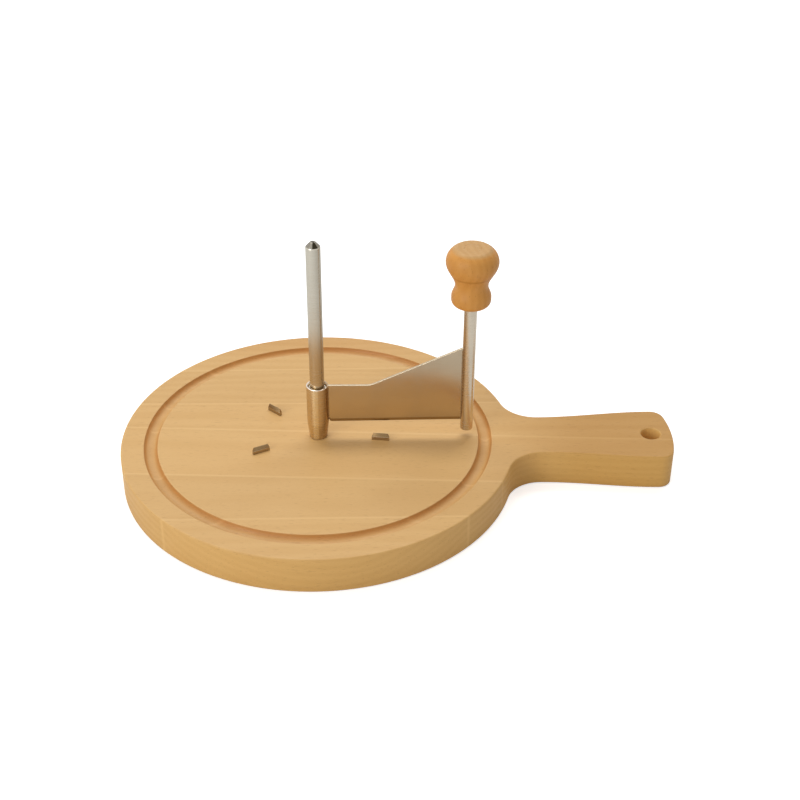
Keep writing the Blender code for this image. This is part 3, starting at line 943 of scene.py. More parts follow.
@dataclass
class Board:
    """The beech board: disc, handle, groove, bores and the slots of the teeth."""

    radius: float = (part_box("board")[1].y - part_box("board")[0].y) / 2
    reach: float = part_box("board")[1].x - SPINDLE_X
    thickness: float = BOARD_TOP
    edge_round: float = 0.0009
    support: float = 0.0006
    neck_width: float = 0.0356
    end_width: float = 0.0462
    root_fillet: float = 0.0205
    corner_radius: float = 0.0076
    end_radius: float = 0.080
    hole_radius: float = 0.0055
    hole_setback: float = 0.012
    hole_round: float = 0.0008
    rim_width: float = 0.0128
    groove_width: float = 0.0074
    groove_depth: float = 0.0034
    groove_lip: float = 0.0004
    # The groove's tint, partly painted shade: its share on the floor, where it starts to deepen and over
    # what share of the width
    floor_tint: float = 0.15
    wall_start: float = 0.45
    wall_fade: float = 0.4
    counterbore: float = 0.0078
    counterbore_depth: float = 0.0052
    screw_hole: float = 0.0028
    socket_floor: float = 0.0092
    # Share of painted shade in the recess below the spindle
    bore_shade_share: float = 0.6
    disc_steps: int = 360
    bore_steps: int = 72
    fillet_steps: int = 24
    flare_steps: int = 40
    corner_steps: int = 20
    end_steps: int = 16
    edge_steps: int = 6
    lip_steps: int = 4
    cut_steps: int = 10
    glue_lines: tuple[GlueLine, ...] = (
        GlueLine(-0.076, 0.01),
        GlueLine(-0.0405, -0.045),
        GlueLine(0.0037, -0.05),
        GlueLine(0.0330, 0.0),
        GlueLine(0.071, 0.02),
    )

    def outline(self) -> list[Point]:
        """The board's outline about the spindle.

        Returns:
            Its points, counter-clockwise from the far side of the disc.
        """
        neck, end = self.neck_width / 2, self.end_width / 2
        root_y = neck + self.root_fillet
        root_x = math.sqrt((self.radius + self.root_fillet) ** 2 - root_y**2)
        root_angle = math.degrees(math.atan2(root_y, root_x))
        tip_x = self.reach - self.end_radius
        corner_y = end - self.corner_radius
        corner_x = tip_x + math.sqrt((self.end_radius - self.corner_radius) ** 2 - corner_y**2)
        corner_angle = math.degrees(math.atan2(corner_y, corner_x - tip_x))
        disc_steps = round(self.disc_steps * (180 - root_angle) / 360)
        half = arc((0, 0), self.radius, 180, root_angle, disc_steps)
        half += arc((root_x, root_y), self.root_fillet, 180 + root_angle, 270, self.fillet_steps)[1:]
        for step in range(1, self.flare_steps):
            share = step / self.flare_steps
            flare = share * share * (3 - 2 * share)
            half.append((root_x + (corner_x - root_x) * share, neck + (end - neck) * flare))
        half += arc((corner_x, corner_y), self.corner_radius, 90, corner_angle, self.corner_steps)
        half += arc((tip_x, 0), self.end_radius, corner_angle, 0, self.end_steps)[1:]
        whole = half + [(x, -y) for x, y in reversed(half[1:-1])]
        return [whole[0], *reversed(whole[1:])]

    def edge_profile(self, rounding: float) -> list[Corner]:
        """Cross-section of an edge from the top face to the underside.

        Args:
            rounding: radius of both edges.

        Returns:
            How far each point lies inside the wall, its height, and how far it belongs to the wall.
        """
        top = [(rounding + self.support, self.thickness, 0.0)]
        for index, (x, y) in enumerate(arc((0, 0), rounding, 90, 0, self.edge_steps)):
            top.append((rounding - x, self.thickness - rounding + y, index / self.edge_steps))
        return top + [(inset, self.thickness - height, wall) for inset, height, wall in reversed(top)]

    def ring(self, radius: float, height: float, centre: float = 0.0, steps: int = 0) -> list[Vector]:
        """A level circle of points on the board's middle line."""
        circle = arc((centre, 0), radius, 0, 360, steps or self.bore_steps)[:-1]
        return [Vector((x, y, height)) for x, y in circle]

    def draw_wall(self, draft: Draft) -> Ends:
        """Draw the outer wall with its rounded edges.

        Args:
            draft: the mesh being drawn.

        Returns:
            The loops that the top face and the underside start from.
        """
        line = [Vector(point) for point in self.outline()]
        normals = []
        for index in range(len(line)):
            along = line[(index + 1) % len(line)] - line[index - 1]
            normals.append(Vector((along.y, -along.x)).normalized())
        on_handle = [clamped((point.x - self.radius) / self.root_fillet) for point in line]
        loops = []
        for inset, height, wall in self.edge_profile(self.edge_round):
            points = [(*(point - normal * inset), height) for point, normal in zip(line, normals)]
            # The wall mask gives all walls painted light, and the tip mask more painted light on the
            # handle's walls.
            loops.append(draft.loop(points, wall=wall, tip=[wall * share for share in on_handle]))
        return draft.bridge(loops)

    def draw_groove(self, draft: Draft) -> Ends:
        """Draw the juice groove: a ball-nosed cut with softened lips.

        Args:
            draft: the mesh being drawn.

        Returns:
            The groove's inner and outer loop on the top face.
        """
        half = self.groove_width / 2
        middle = self.radius - self.rim_width - half
        tool = (half**2 + self.groove_depth**2) / (2 * self.groove_depth)
        rise = tool - self.groove_depth
        aside = math.sqrt((tool + self.groove_lip) ** 2 - (rise + self.groove_lip) ** 2)
        dip = math.degrees(math.atan2(rise + self.groove_lip, aside))
        side = [(aside + self.support, 0.0)]
        side += arc((aside, -self.groove_lip), self.groove_lip, 90, 180 - dip, self.lip_steps)
        side += arc((0, rise), tool, -dip, -90, self.cut_steps)[1:]
        loops = []
        for offset, height in [(-x, y) for x, y in side] + side[-2::-1]:
            # Darker towards the steep walls, less on the floor: partly the cut grain's own tone, partly
            # painted shade.
            steep = clamped((abs(offset) / half - self.wall_start) / self.wall_fade)
            tint = (self.floor_tint + (1 - self.floor_tint) * steep) * clamped(-height / self.groove_lip)
            points = self.ring(middle + offset, self.thickness + height, steps=self.disc_steps)
            loops.append(draft.loop(points, groove=tint))
        return draft.bridge(loops)

    def draw_hole(self, draft: Draft) -> Ends:
        """Draw the hanging hole.

        Args:
            draft: the mesh being drawn.

        Returns:
            Its loops on the top face and the underside.
        """
        loops = []
        centre = self.reach - self.hole_setback
        for inset, height, wall in self.edge_profile(self.hole_round):
            points = self.ring(self.hole_radius + inset, height, centre)
            # Both masks give the hole's wall painted light.
            loops.append(draft.loop(points, tip=wall, bore=wall))
        return draft.bridge(loops)

    def draw_bore(self, draft: Draft) -> Ends:
        """Draw the spindle's socket, the screw's hole and the counterbore.

        Args:
            draft: the mesh being drawn.

        Returns:
            Their loops on the top face and the underside.
        """
        socket = box_radius("spindle") + HAIRLINE
        # Radius, height and whether the point lies in the recess below the spindle, which gets painted
        # shade
        steps = (
            (socket + EASED + self.support, self.thickness, False),
            (socket + EASED, self.thickness, False),
            (socket, self.thickness - EASED, False),
            (socket, self.socket_floor, True),
            (self.screw_hole, self.socket_floor, True),
            (self.screw_hole, self.counterbore_depth, True),
            (self.counterbore, self.counterbore_depth, True),
            (self.counterbore, EASED, True),
            (self.counterbore + EASED, 0.0, False),
            (self.counterbore + EASED + self.support, 0.0, False),
        )
        loops = []
        for radius, height, inside in steps:
            loops.append(draft.loop(self.ring(radius, height), hollow=self.bore_shade_share * inside))
        return draft.bridge(loops)

    def draw_slots(self, draft: Draft, teeth: "GripTeeth") -> list[list[int]]:
        """Draw the slots that the teeth are driven into.

        Args:
            draft: the mesh being drawn.
            teeth: the teeth.

        Returns:
            The slots' loops on the top face.
        """
        rims = []
        half_length = teeth.length / 2 + HAIRLINE
        half_width = teeth.thickness / 2 + HAIRLINE
        corners = [(x * half_length, y * half_width) for x, y in ((-1, -1), (1, -1), (1, 1), (-1, 1))]
        for bearing in teeth.bearings:
            turn = Matrix.Rotation(math.radians(bearing), 3, "Z")
            loops = []
            for depth in (0.0, teeth.buried + HAIRLINE):
                height = self.thickness - depth
                points = [turn @ Vector((teeth.ring_radius + x, y, height)) for x, y in corners]
                # The slot's floor gets painted shade.
                loops.append(draft.loop(points, hollow=float(depth > 0)))
            rim, floor = draft.bridge(loops)
            draft.fill(floor)
            rims.append(rim)
        return rims

    def finish(self) -> WoodFinish:
        """Choose the board's finish.

        Returns:
            Pale beech staves. Its zones paint light on the walls and in the hanging hole, paint shade at
            the back and in the recesses, and darken the groove and the handle end, partly as painted shade.
        """
        return WoodFinish(
            name="board_beech",
            pale=(0.702, 0.438, 0.174),
            deep=(0.618, 0.363, 0.133),
            fleck=(0.48, 0.26, 0.088),
            grain=Grain.ALONG_HANDLE,
            centre=(-SPINDLE_X, 0.0, 0.0),
            figure=0.85,
            flecking=0.4,
            glue_lines=self.glue_lines,
            zones=(
                # Browner and darker towards the handle: partly the wood's own tone, partly painted shade
                # where the light falls off.
                Zone((0.77, 0.68, 0.49), axis=Axis.X, low=SPINDLE_X + 0.076, soft=0.080),
                # Darker at the back: painted shade.
                Zone((0.93, 0.865, 0.79), axis=Axis.Y, low=0.080, soft=0.025),
                # Walls brighter and more golden: painted light.
                Zone((1.055, 1.01, 0.83), attribute="wall"),
                # Handle's walls and the hanging hole's wall lighter and bluer: painted light.
                Zone((1.2, 1.3, 1.5), attribute="tip"),
                # Groove: partly the cut grain's browner tone, partly painted shade.
                Zone((0.86, 0.68, 0.50), attribute="groove"),
                # Bore and slot recesses darker: painted shade.
                Zone((0.80, 0.70, 0.56), attribute="hollow"),
                # Hanging hole's wall lighter and bluer: painted light.
                Zone((1.25, 1.34, 1.42), attribute="bore"),
            ),
        )

    def build(self, teeth: "GripTeeth") -> None:
        """Build the board.

        Args:
            teeth: the teeth, which say where the slots go.
        """
        # Masks for painted light on the walls, the handle and the hanging hole, painted shade in the
        # recesses, and the groove's darker tone, partly painted shade.
        draft = Draft("wall", "tip", "groove", "hollow", "bore")
        top, under = self.draw_wall(draft)
        groove_inner, groove_outer = self.draw_groove(draft)
        hole_top, hole_under = self.draw_hole(draft)
        bore_top, bore_under = self.draw_bore(draft)
        slots = self.draw_slots(draft, teeth)
        draft.fill(top, [groove_outer, hole_top])
        draft.fill(groove_inner, [bore_top, *slots])
        draft.fill(under, [hole_under, bore_under])
        mesh = draft.mesh("beech_board")
        mesh.transform(Matrix.Translation(on_spindle(0)))
        mesh.materials.append(self.finish().material())
        hand_over(make_object("beech_board", mesh), Body.BASE, Slot.BOARD_WOOD, "board")


@dataclass
class GripTeeth:
    """Three steel plates driven into the board, ground to an edge on top."""

    nodes: tuple[str, ...] = ("grip_tooth_back", "grip_tooth_front", "grip_tooth_handle")
    bearings: tuple[float, ...] = (137.4, 207.2, 352.6)
    ring_radius: float = 0.0351
    length: float = 0.0098
    thickness: float = 0.0016
    rise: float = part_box("grip_tooth_back")[1].z - BOARD_TOP
    buried: float = BOARD_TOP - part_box("grip_tooth_back")[0].z
    edge_height: float = 0.0022
    edge_thickness: float = 0.0004
    edge_share: float = 0.6
    end_chamfer: float = 0.0007
    soft: float = 0.00015
    round_steps: int = 3

    def tooth(self) -> bpy.types.Object:
        """Draw one tooth about its own foot, with softened edges.

        Returns:
            The tooth, as the pattern that is stood in the slots.
        """
        draft = Draft()
        half, edge = self.thickness / 2, self.edge_thickness / 2
        shoulder = self.rise - self.edge_height
        section = softened(
            [
                (-half, -self.buried, 0),
                (half, -self.buried, 0),
                (half, shoulder, self.soft),
                (edge, self.rise, edge * self.edge_share),
                (-edge, self.rise, edge * self.edge_share),
                (-half, shoulder, self.soft),
                (-half, 0.0, 0),
            ],
            self.round_steps,
        )
        loops = []
        for end, inset in ((-1, 0.0), (-1, self.soft), (1, self.soft), (1, 0.0)):
            thin = 1.0 if inset else 1 - self.soft / half
            points = []
            for y, z in section:
                slant = self.end_chamfer * max(0.0, (z - shoulder) / self.edge_height)
                points.append((end * (self.length / 2 - slant - inset), y * thin, z))
            loops.append(draft.loop(points))
        draft.close(loops)
        return make_object("tooth_pattern", draft.mesh("tooth_pattern"))

    def build(self, stand: StandTree) -> None:
        """Stand the three teeth in their slots.

        Args:
            stand: the tree that places them.
        """
        # The ground edge darker: painted shade. The brown of the steel: painted reflection of the wood.
        ground = Zone((0.64, 0.54, 0.40), low=BOARD_TOP + self.rise - self.edge_height, soft=0.0004)
        steel = MetalFinish(
            "tooth_steel",
            bright=(0.48, 0.37, 0.24),
            dull=(0.35, 0.265, 0.165),
            roughness=0.28,
            zones=(ground,),
        )
        pattern = self.tooth()
        turns = [math.radians(bearing) for bearing in self.bearings]
        spokes = [Vector((math.cos(turn), math.sin(turn), 0)) * self.ring_radius for turn in turns]
        mesh = bpy.data.meshes.new("grip_teeth")
        mesh.from_pydata([on_spindle(BOARD_TOP) + spoke for spoke in spokes], [], [])
        mark_points(mesh, "bearing", turns)
        piece = make_object("grip_teeth", mesh)
        stand.run(piece, {"Shape": pattern, "Finish": steel.material()})
        bpy.data.objects.remove(pattern)
        hand_over(piece, Body.BASE, Slot.TOOTH_STEEL, *self.nodes)


@dataclass
class SpindleSet:
    """The fixed rod, and the screw and washer that hold it from below."""

    foot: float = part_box("spindle")[0].z
    top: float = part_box("spindle")[1].z
    radius: float = box_radius("spindle")
    tip_radius: float = 0.0015
    tip_length: float = 0.0028
    nose_round: float = 0.0007
    # How far up the nose its rings stand, so that the cone shades evenly
    nose_rings: tuple[float, ...] = (0.15, 0.35, 0.6, 0.85)
    # Where the dark patch of painted reflection lies on the nose: its bearings in degrees and its share of
    # the nose's length
    dark_patch_bearings: tuple[float, float] = (-91.0, -44.0)
    dark_patch_share: float = 0.9
    steps: int = 72
    washer_hole: float = 0.0028
    washer_steps: int = 56
    shank_radius: float = 0.0025
    shank_chamfer: float = 0.0004
    head_height: float = 0.0026
    dome_round: float = 0.0010
    dome_share: float = 0.62
    head_round: float = 0.0006
    head_share: float = 0.55
    key_radius: float = 0.0015
    key_depth: float = 0.0014
    key_margin: float = 1.02
    # Nine faces to each side of the key's socket
    screw_steps: int = 54

    def build(self, lathe: LatheTree) -> None:
        """Build the rod, the washer and the screw.

        Args:
            lathe: the tree that turns them.
        """
        nose = self.top - self.tip_length
        steel = MetalFinish(
            "spindle_steel",
            # Slightly warm: painted reflection of the wood.
            bright=(0.70, 0.66, 0.56),
            dull=(0.61, 0.57, 0.475),
            stretch=0.5,
            zones=(
                # Right side darker: painted reflection.
                Zone((0.70, 0.67, 0.63), axis=Axis.X, low=SPINDLE_X, soft=0.0042),
                # Lower part browner: painted reflection of the board.
                Zone((0.88, 0.79, 0.68), high=BOARD_TOP + 0.076, soft=0.026),
                # Nose darker grey: painted reflection.
                Zone((0.46, 0.45, 0.44), low=nose, soft=0.0006),
                # Dark patch on the nose's front right: painted reflection.
                Zone((0.12, 0.11, 0.08), attribute="flat"),
            ),
        )
        height = self.top - self.foot
        nose_base = height - self.tip_length
        corners = [(0, 0, 0), (self.radius, 0, EASED), (self.radius, nose_base, self.nose_round)]
        for share in self.nose_rings:
            across = self.radius + (self.tip_radius - self.radius) * share
            corners.append((across, nose_base + self.tip_length * share, 0))
        rod = softened([*corners, (self.tip_radius, height, self.nose_round), (0, height, 0)])
        piece = lathe.turn("spindle_rod", rod, self.steps, steel.material(), on_spindle(self.foot))
        self.paint_nose_reflection(piece.data)
        hand_over(piece, Body.BASE, Slot.SPINDLE_STEEL, "spindle")
        fixing = plain_steel("fixing_steel")
        self.build_washer(lathe, fixing)
        self.build_screw(lathe, fixing)

    def paint_nose_reflection(self, mesh: bpy.types.Mesh) -> None:
        """Mark a dark patch on the nose's front right: a painted reflection, not a flat in the shape.

        Args:
            mesh: the rod's mesh, which gets the mark as a point attribute.
        """
        start, end = self.dark_patch_bearings
        values = []
        for vertex in mesh.vertices:
            bearing = math.degrees(math.atan2(vertex.co.y, vertex.co.x - SPINDLE_X))
            on_nose = vertex.co.z > self.top - self.tip_length * self.dark_patch_share
            values.append(float(on_nose and start < bearing < end))
        # The attribute named flat holds this painted reflection's mask; the nose stays round.
        mark_points(mesh, "flat", values)

    def build_washer(self, lathe: LatheTree, finish: bpy.types.Material) -> None:
        """Build the flat washer, with the rounded edge that punching leaves.

        Args:
            lathe: the tree that turns it.
            finish: its material.
        """
        low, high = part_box("spindle_washer")
        edges = (CRISP, EASED, CRISP, CRISP)
        section = ring_section(self.washer_hole, box_radius("spindle_washer"), high.z - low.z, edges)
        place = on_spindle(low.z)
        piece = lathe.turn("washer_under_board", section, self.washer_steps, finish, place, ring=True)
        hand_over(piece, Body.BASE, Slot.FIXING_STEEL, "spindle_washer")

    def build_screw(self, lathe: LatheTree, finish: bpy.types.Material) -> None:
        """Build the domed screw, its head downwards, with a six-sided socket for the key.

        Args:
            lathe: the tree that turns it.
            finish: its material.
        """
        low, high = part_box("spindle_screw")
        head, length = box_radius("spindle_screw"), high.z - low.z
        body = softened(
            [
                (0, self.key_depth, 0),
                (self.key_radius, self.key_depth, 0),
                (self.key_radius, 0, CRISP),
                (head * self.dome_share, 0, self.dome_round),
                (head, self.head_height * self.head_share, self.head_round),
                (head, self.head_height, BROKEN),
                (self.shank_radius, self.head_height, CRISP),
                (self.shank_radius, length, self.shank_chamfer),
                (0, length, 0),
            ]
        )
        piece = lathe.turn("screw_under_board", body, self.screw_steps, finish, on_spindle(low.z))
        depth, reach = self.key_depth * self.key_margin, self.key_radius * self.key_margin
        for vertex in piece.data.vertices:
            x, y = vertex.co.x - SPINDLE_X, vertex.co.y
            if 0 < math.hypot(x, y) < reach and vertex.co.z < low.z + depth:
                sector = math.remainder(math.atan2(y, x), math.tau / 6)
                pull = math.cos(math.tau / 12) / math.cos(sector)
                vertex.co.x, vertex.co.y = SPINDLE_X + x * pull, y * pull
        hand_over(piece, Body.BASE, Slot.FIXING_STEEL, "spindle_screw")


@dataclass
class Scraper:
    """Hub, blade and crank post, welded together, and the liner that the hub runs on."""

    hub_base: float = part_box("hub_sleeve")[0].z
    hub_top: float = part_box("hub_sleeve")[1].z
    hub_radius: float = box_radius("hub_sleeve")
    hub_bore: float = 0.0050
    hub_lip: float = 0.0043
    foot_height: float = 0.0096
    foot_inset: float = 0.0011
    foot_sweep: float = 0.006
    bore_sweep: float = 0.001
    mouth_width: float = 0.0005
    mouth_depth: float = 0.0008
    hub_round_steps: int = 6
    liner_bore: float = 0.0042
    liner_edge: float = 0.00015
    liner_round_steps: int = 3
    blade_start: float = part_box("blade")[0].x
    blade_end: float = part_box("blade")[1].x
    blade_crest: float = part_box("blade")[1].z
    edge_start: float = BOARD_TOP + 0.0096
    blade_thickness: float = 0.0014
    foot_rise: float = 0.0010
    grind_height: float = 0.0020
    edge_thickness: float = 0.0003
    corner_radius: float = 0.0014
    level_length: float = 0.0229
    join_length: float = 0.004
    top_round: float = 0.0003
    blade_steps: int = 90
    corner_steps: int = 6
    round_steps: int = 5
    weld_sink: float = 0.0005
    weld_offset: float = 0.00025
    weld_corner: float = 1.6
    weld_end: float = 0.0012
    weld_crest: float = 0.0014
    bead_radius: float = 0.0003
    bead_ripple: float = 0.04
    bead_pitch: float = 0.0011
    bead_seeds: tuple[float, ...] = (1.0, 6.0, 11.0, 16.0)
    post_x: float = box_middle("crank_post").x
    post_base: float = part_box("crank_post")[0].z
    post_top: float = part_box("crank_post")[1].z
    post_radius: float = box_radius("crank_post")
    post_round: float = 0.0005
    stem_radius: float = 0.0025
    shoulder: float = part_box("knob")[0].z + 0.003
    steps: int = 72

    def build(self, lathe: LatheTree, bead: BeadTree) -> None:
        """Build the scraper.

        Args:
            lathe: the tree that turns the round pieces.
            bead: the tree that lays the welds.
        """
        self.build_hub(lathe)
        self.build_liner(lathe)
        self.build_blade()
        self.build_post(lathe)
        self.build_welds(bead)

    def build_hub(self, lathe: LatheTree) -> None:
        """Build the tube, with a rounded rim and its foot drawn in.

        Args:
            lathe: the tree that turns it.
        """
        steel = MetalFinish(
            "hub_steel",
            # Warm tone: painted reflection of the wood.
            bright=(0.80, 0.675, 0.45),
            dull=(0.755, 0.635, 0.415),
            relief=0.0000012,
            stretch=0.75,
            zones=(
                # Right side darker and browner, left side darker, a lighter streak between: painted
                # reflection.
                Zone((0.76, 0.68, 0.60), axis=Axis.X, low=SPINDLE_X, soft=0.0010),
                Zone((0.60, 0.49, 0.36), axis=Axis.X, low=SPINDLE_X + 0.001, soft=0.0045),
                Zone((0.82, 0.75, 0.68), axis=Axis.X, high=SPINDLE_X - 0.0018, soft=0.0012),
                # Top rim lighter and bluer: painted highlight.
                Zone((1.3, 1.5, 2.2), low=self.hub_top - 0.0006, soft=0.0003),
            ),
        )
        height = self.hub_top - self.hub_base
        tube = softened(
            [
                (self.hub_bore, height / 2, 0),
                (self.hub_bore, self.foot_height, self.bore_sweep),
                (self.hub_lip, 0, CRISP),
                (self.hub_radius - self.foot_inset, 0, EASED),
                (self.hub_radius, self.foot_height, self.foot_sweep),
                (self.hub_radius, height, BROKEN),
                (self.hub_bore + self.mouth_width, height, CRISP),
                (self.hub_bore, height - self.mouth_depth, BROKEN),
                (self.hub_bore, height / 2, 0),
            ],
            self.hub_round_steps,
        )
        place = on_spindle(self.hub_base)
        piece = lathe.turn("hub_tube", tube[:-1], self.steps, steel.material(), place, ring=True)
        hand_over(piece, Body.SCRAPER, Slot.HUB_STEEL, "hub_sleeve")

    def build_liner(self, lathe: LatheTree) -> None:
        """Build the thin liner inside the tube, which slides on the spindle.

        Args:
            lathe: the tree that turns it.
        """
        # Pale, so that the hub's mouth stays light: painted light; warm as painted reflection of the wood.
        steel = MetalFinish("liner_steel", (0.88, 0.80, 0.68), (0.80, 0.72, 0.60), 0.42).material()
        low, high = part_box("hub_bush")
        edges = (self.liner_edge,) * 4
        outer, height = box_radius("hub_bush"), high.z - low.z
        wall = ring_section(self.liner_bore, outer, height, edges, self.liner_round_steps)
        piece = lathe.turn("hub_liner", wall, self.steps, steel, on_spindle(low.z), ring=True)
        hand_over(piece, Body.GUIDE, Slot.HUB_STEEL, "hub_bush")

    def blade_top(self, x: float) -> float:
        """Height of the blade's top edge: level with the hub, a bend, and a ramp up to the post.

        Args:
            x: a place along the blade.

        Returns:
            The height there.
        """
        ramp_start = self.blade_start + self.level_length
        slope = (self.blade_crest - self.hub_top) / (self.blade_end - ramp_start)
        past = min(x, self.blade_end) - ramp_start
        before = -self.join_length / 2
        if past <= before:
            return self.hub_top
        if past >= -before:
            return self.hub_top + slope * past
        return self.hub_top + slope * (past - before) ** 2 / (2 * self.join_length)

    def blade_foot(self, x: float) -> float:
        """Height of the blade's cutting edge: it rises to the post, and its inner corner is rounded.

        Args:
            x: a place along the blade.

        Returns:
            The height there.
        """
        along = (x - self.blade_start) / (self.blade_end - self.blade_start)
        edge = self.edge_start + self.foot_rise * along
        inset = self.corner_radius - (x - self.blade_start)
        if inset <= 0:
            return edge
        inset = min(inset, self.corner_radius)
        return edge + self.corner_radius - math.sqrt(self.corner_radius**2 - inset**2)

    def build_blade(self) -> None:
        """The sheet, with a rounded top edge and a ground lower edge, let into the welds."""
        half, edge, soft = self.blade_thickness / 2, self.edge_thickness / 2, self.top_round
        start, end = self.blade_start - self.weld_sink, self.blade_end + self.weld_sink
        centre = (self.blade_start + self.corner_radius, 0)
        stations = [start, *[x for x, _ in arc(centre, self.corner_radius, 180, 90, self.corner_steps)]]
        first, steps = stations[-1], self.blade_steps
        stations += [first + (end - first) * step / steps for step in range(1, steps + 1)]
        draft = Draft("ground")
        loops = []
        for x in stations:
            foot, top = self.blade_foot(x), self.blade_top(x)
            seam = foot + self.grind_height
            side = [(edge, foot), (half, seam), (half, seam + soft / 2)]
            side += arc((half - soft, top - soft), soft, 0, 90, self.round_steps)
            points = [(x, y, z) for y, z in side] + [(x, -y, z) for y, z in reversed(side)]
            # The ground mask marks the bevel that gets painted reflection of the shaded wood.
            loops.append(draft.loop(points, ground=[float(z <= seam) for _, _, z in points]))
        draft.close(loops)
        mesh = draft.mesh("scraper_blade")
        steel = MetalFinish(
            "blade_steel",
            # Warm brown: painted reflection of the board.
            bright=(0.595, 0.485, 0.345),
            dull=(0.51, 0.415, 0.29),
            roughness=0.21,
            density=7000.0,
            # Ground edge darker: painted reflection of the shaded wood below.
            zones=(Zone((0.78, 0.72, 0.62), attribute="ground"),),
        )
        mesh.materials.append(steel.material())
        hand_over(make_object("scraper_blade", mesh), Body.SCRAPER, Slot.BLADE_STEEL, "blade")

    def build_post(self, lathe: LatheTree) -> None:
        """Build the upright rod, with a thinner stem that goes up into the knob.

        Args:
            lathe: the tree that turns it.
        """
        # The left side darker: painted shade; the warm tone: painted reflection of the wood.
        shade = Zone((0.70, 0.62, 0.54), axis=Axis.X, high=self.post_x - 0.0006, soft=0.0022)
        steel = MetalFinish(
            "post_steel",
            bright=(0.76, 0.68, 0.55),
            dull=(0.67, 0.59, 0.47),
            stretch=0.6,
            zones=(shade,),
        )
        shoulder, height = self.shoulder - self.post_base, self.post_top - self.post_base
        rod = softened(
            [
                (0, 0, 0),
                (self.post_radius, 0, self.post_round),
                (self.post_radius, shoulder, BROKEN),
                (self.stem_radius, shoulder, 0),
                (self.stem_radius, height, BROKEN),
                (0, height, 0),
            ]
        )
        place = Vector((self.post_x, 0, self.post_base))
        piece = lathe.turn("post_rod", rod, self.steps, steel.material(), place)
        hand_over(piece, Body.SCRAPER, Slot.POST_STEEL, "crank_post")

    def build_welds(self, bead: BeadTree) -> None:
        """Lay four fine beads: on both faces of the blade, beside the hub and beside the post.

        Args:
            bead: the tree that lays them.
        """
        # Warm brown, like the blade: painted reflection of the wood.
        finish = MetalFinish(
            "weld_steel",
            bright=(0.50, 0.40, 0.28),
            dull=(0.42, 0.33, 0.22),
            roughness=0.30,
            density=2500.0,
        ).material()
        half = self.blade_thickness / 2
        low = self.edge_start + self.corner_radius * self.weld_corner
        hub = (self.blade_start - self.weld_offset, low, self.hub_top - self.weld_end)
        low = self.edge_start + self.foot_rise + self.weld_end
        post = (self.blade_end + self.weld_offset, low, self.blade_crest - self.weld_crest)
        sizes = {"Bead Radius": self.bead_radius, "Ripple": self.bead_ripple, "Pitch": self.bead_pitch}
        seeds = iter(self.bead_seeds)
        for name, (x, low, high) in (("weld_hub", hub), ("weld_post", post)):
            for side, label in ((-half, "front"), (half, "back")):
                piece = wire_mesh(f"{name}_{label}", [(x, side, low), (x, side, high)], False)
                bead.run(piece, {**sizes, "Seed": next(seeds), "Finish": finish})
                hand_over(piece, Body.SCRAPER, Slot.BLADE_STEEL)


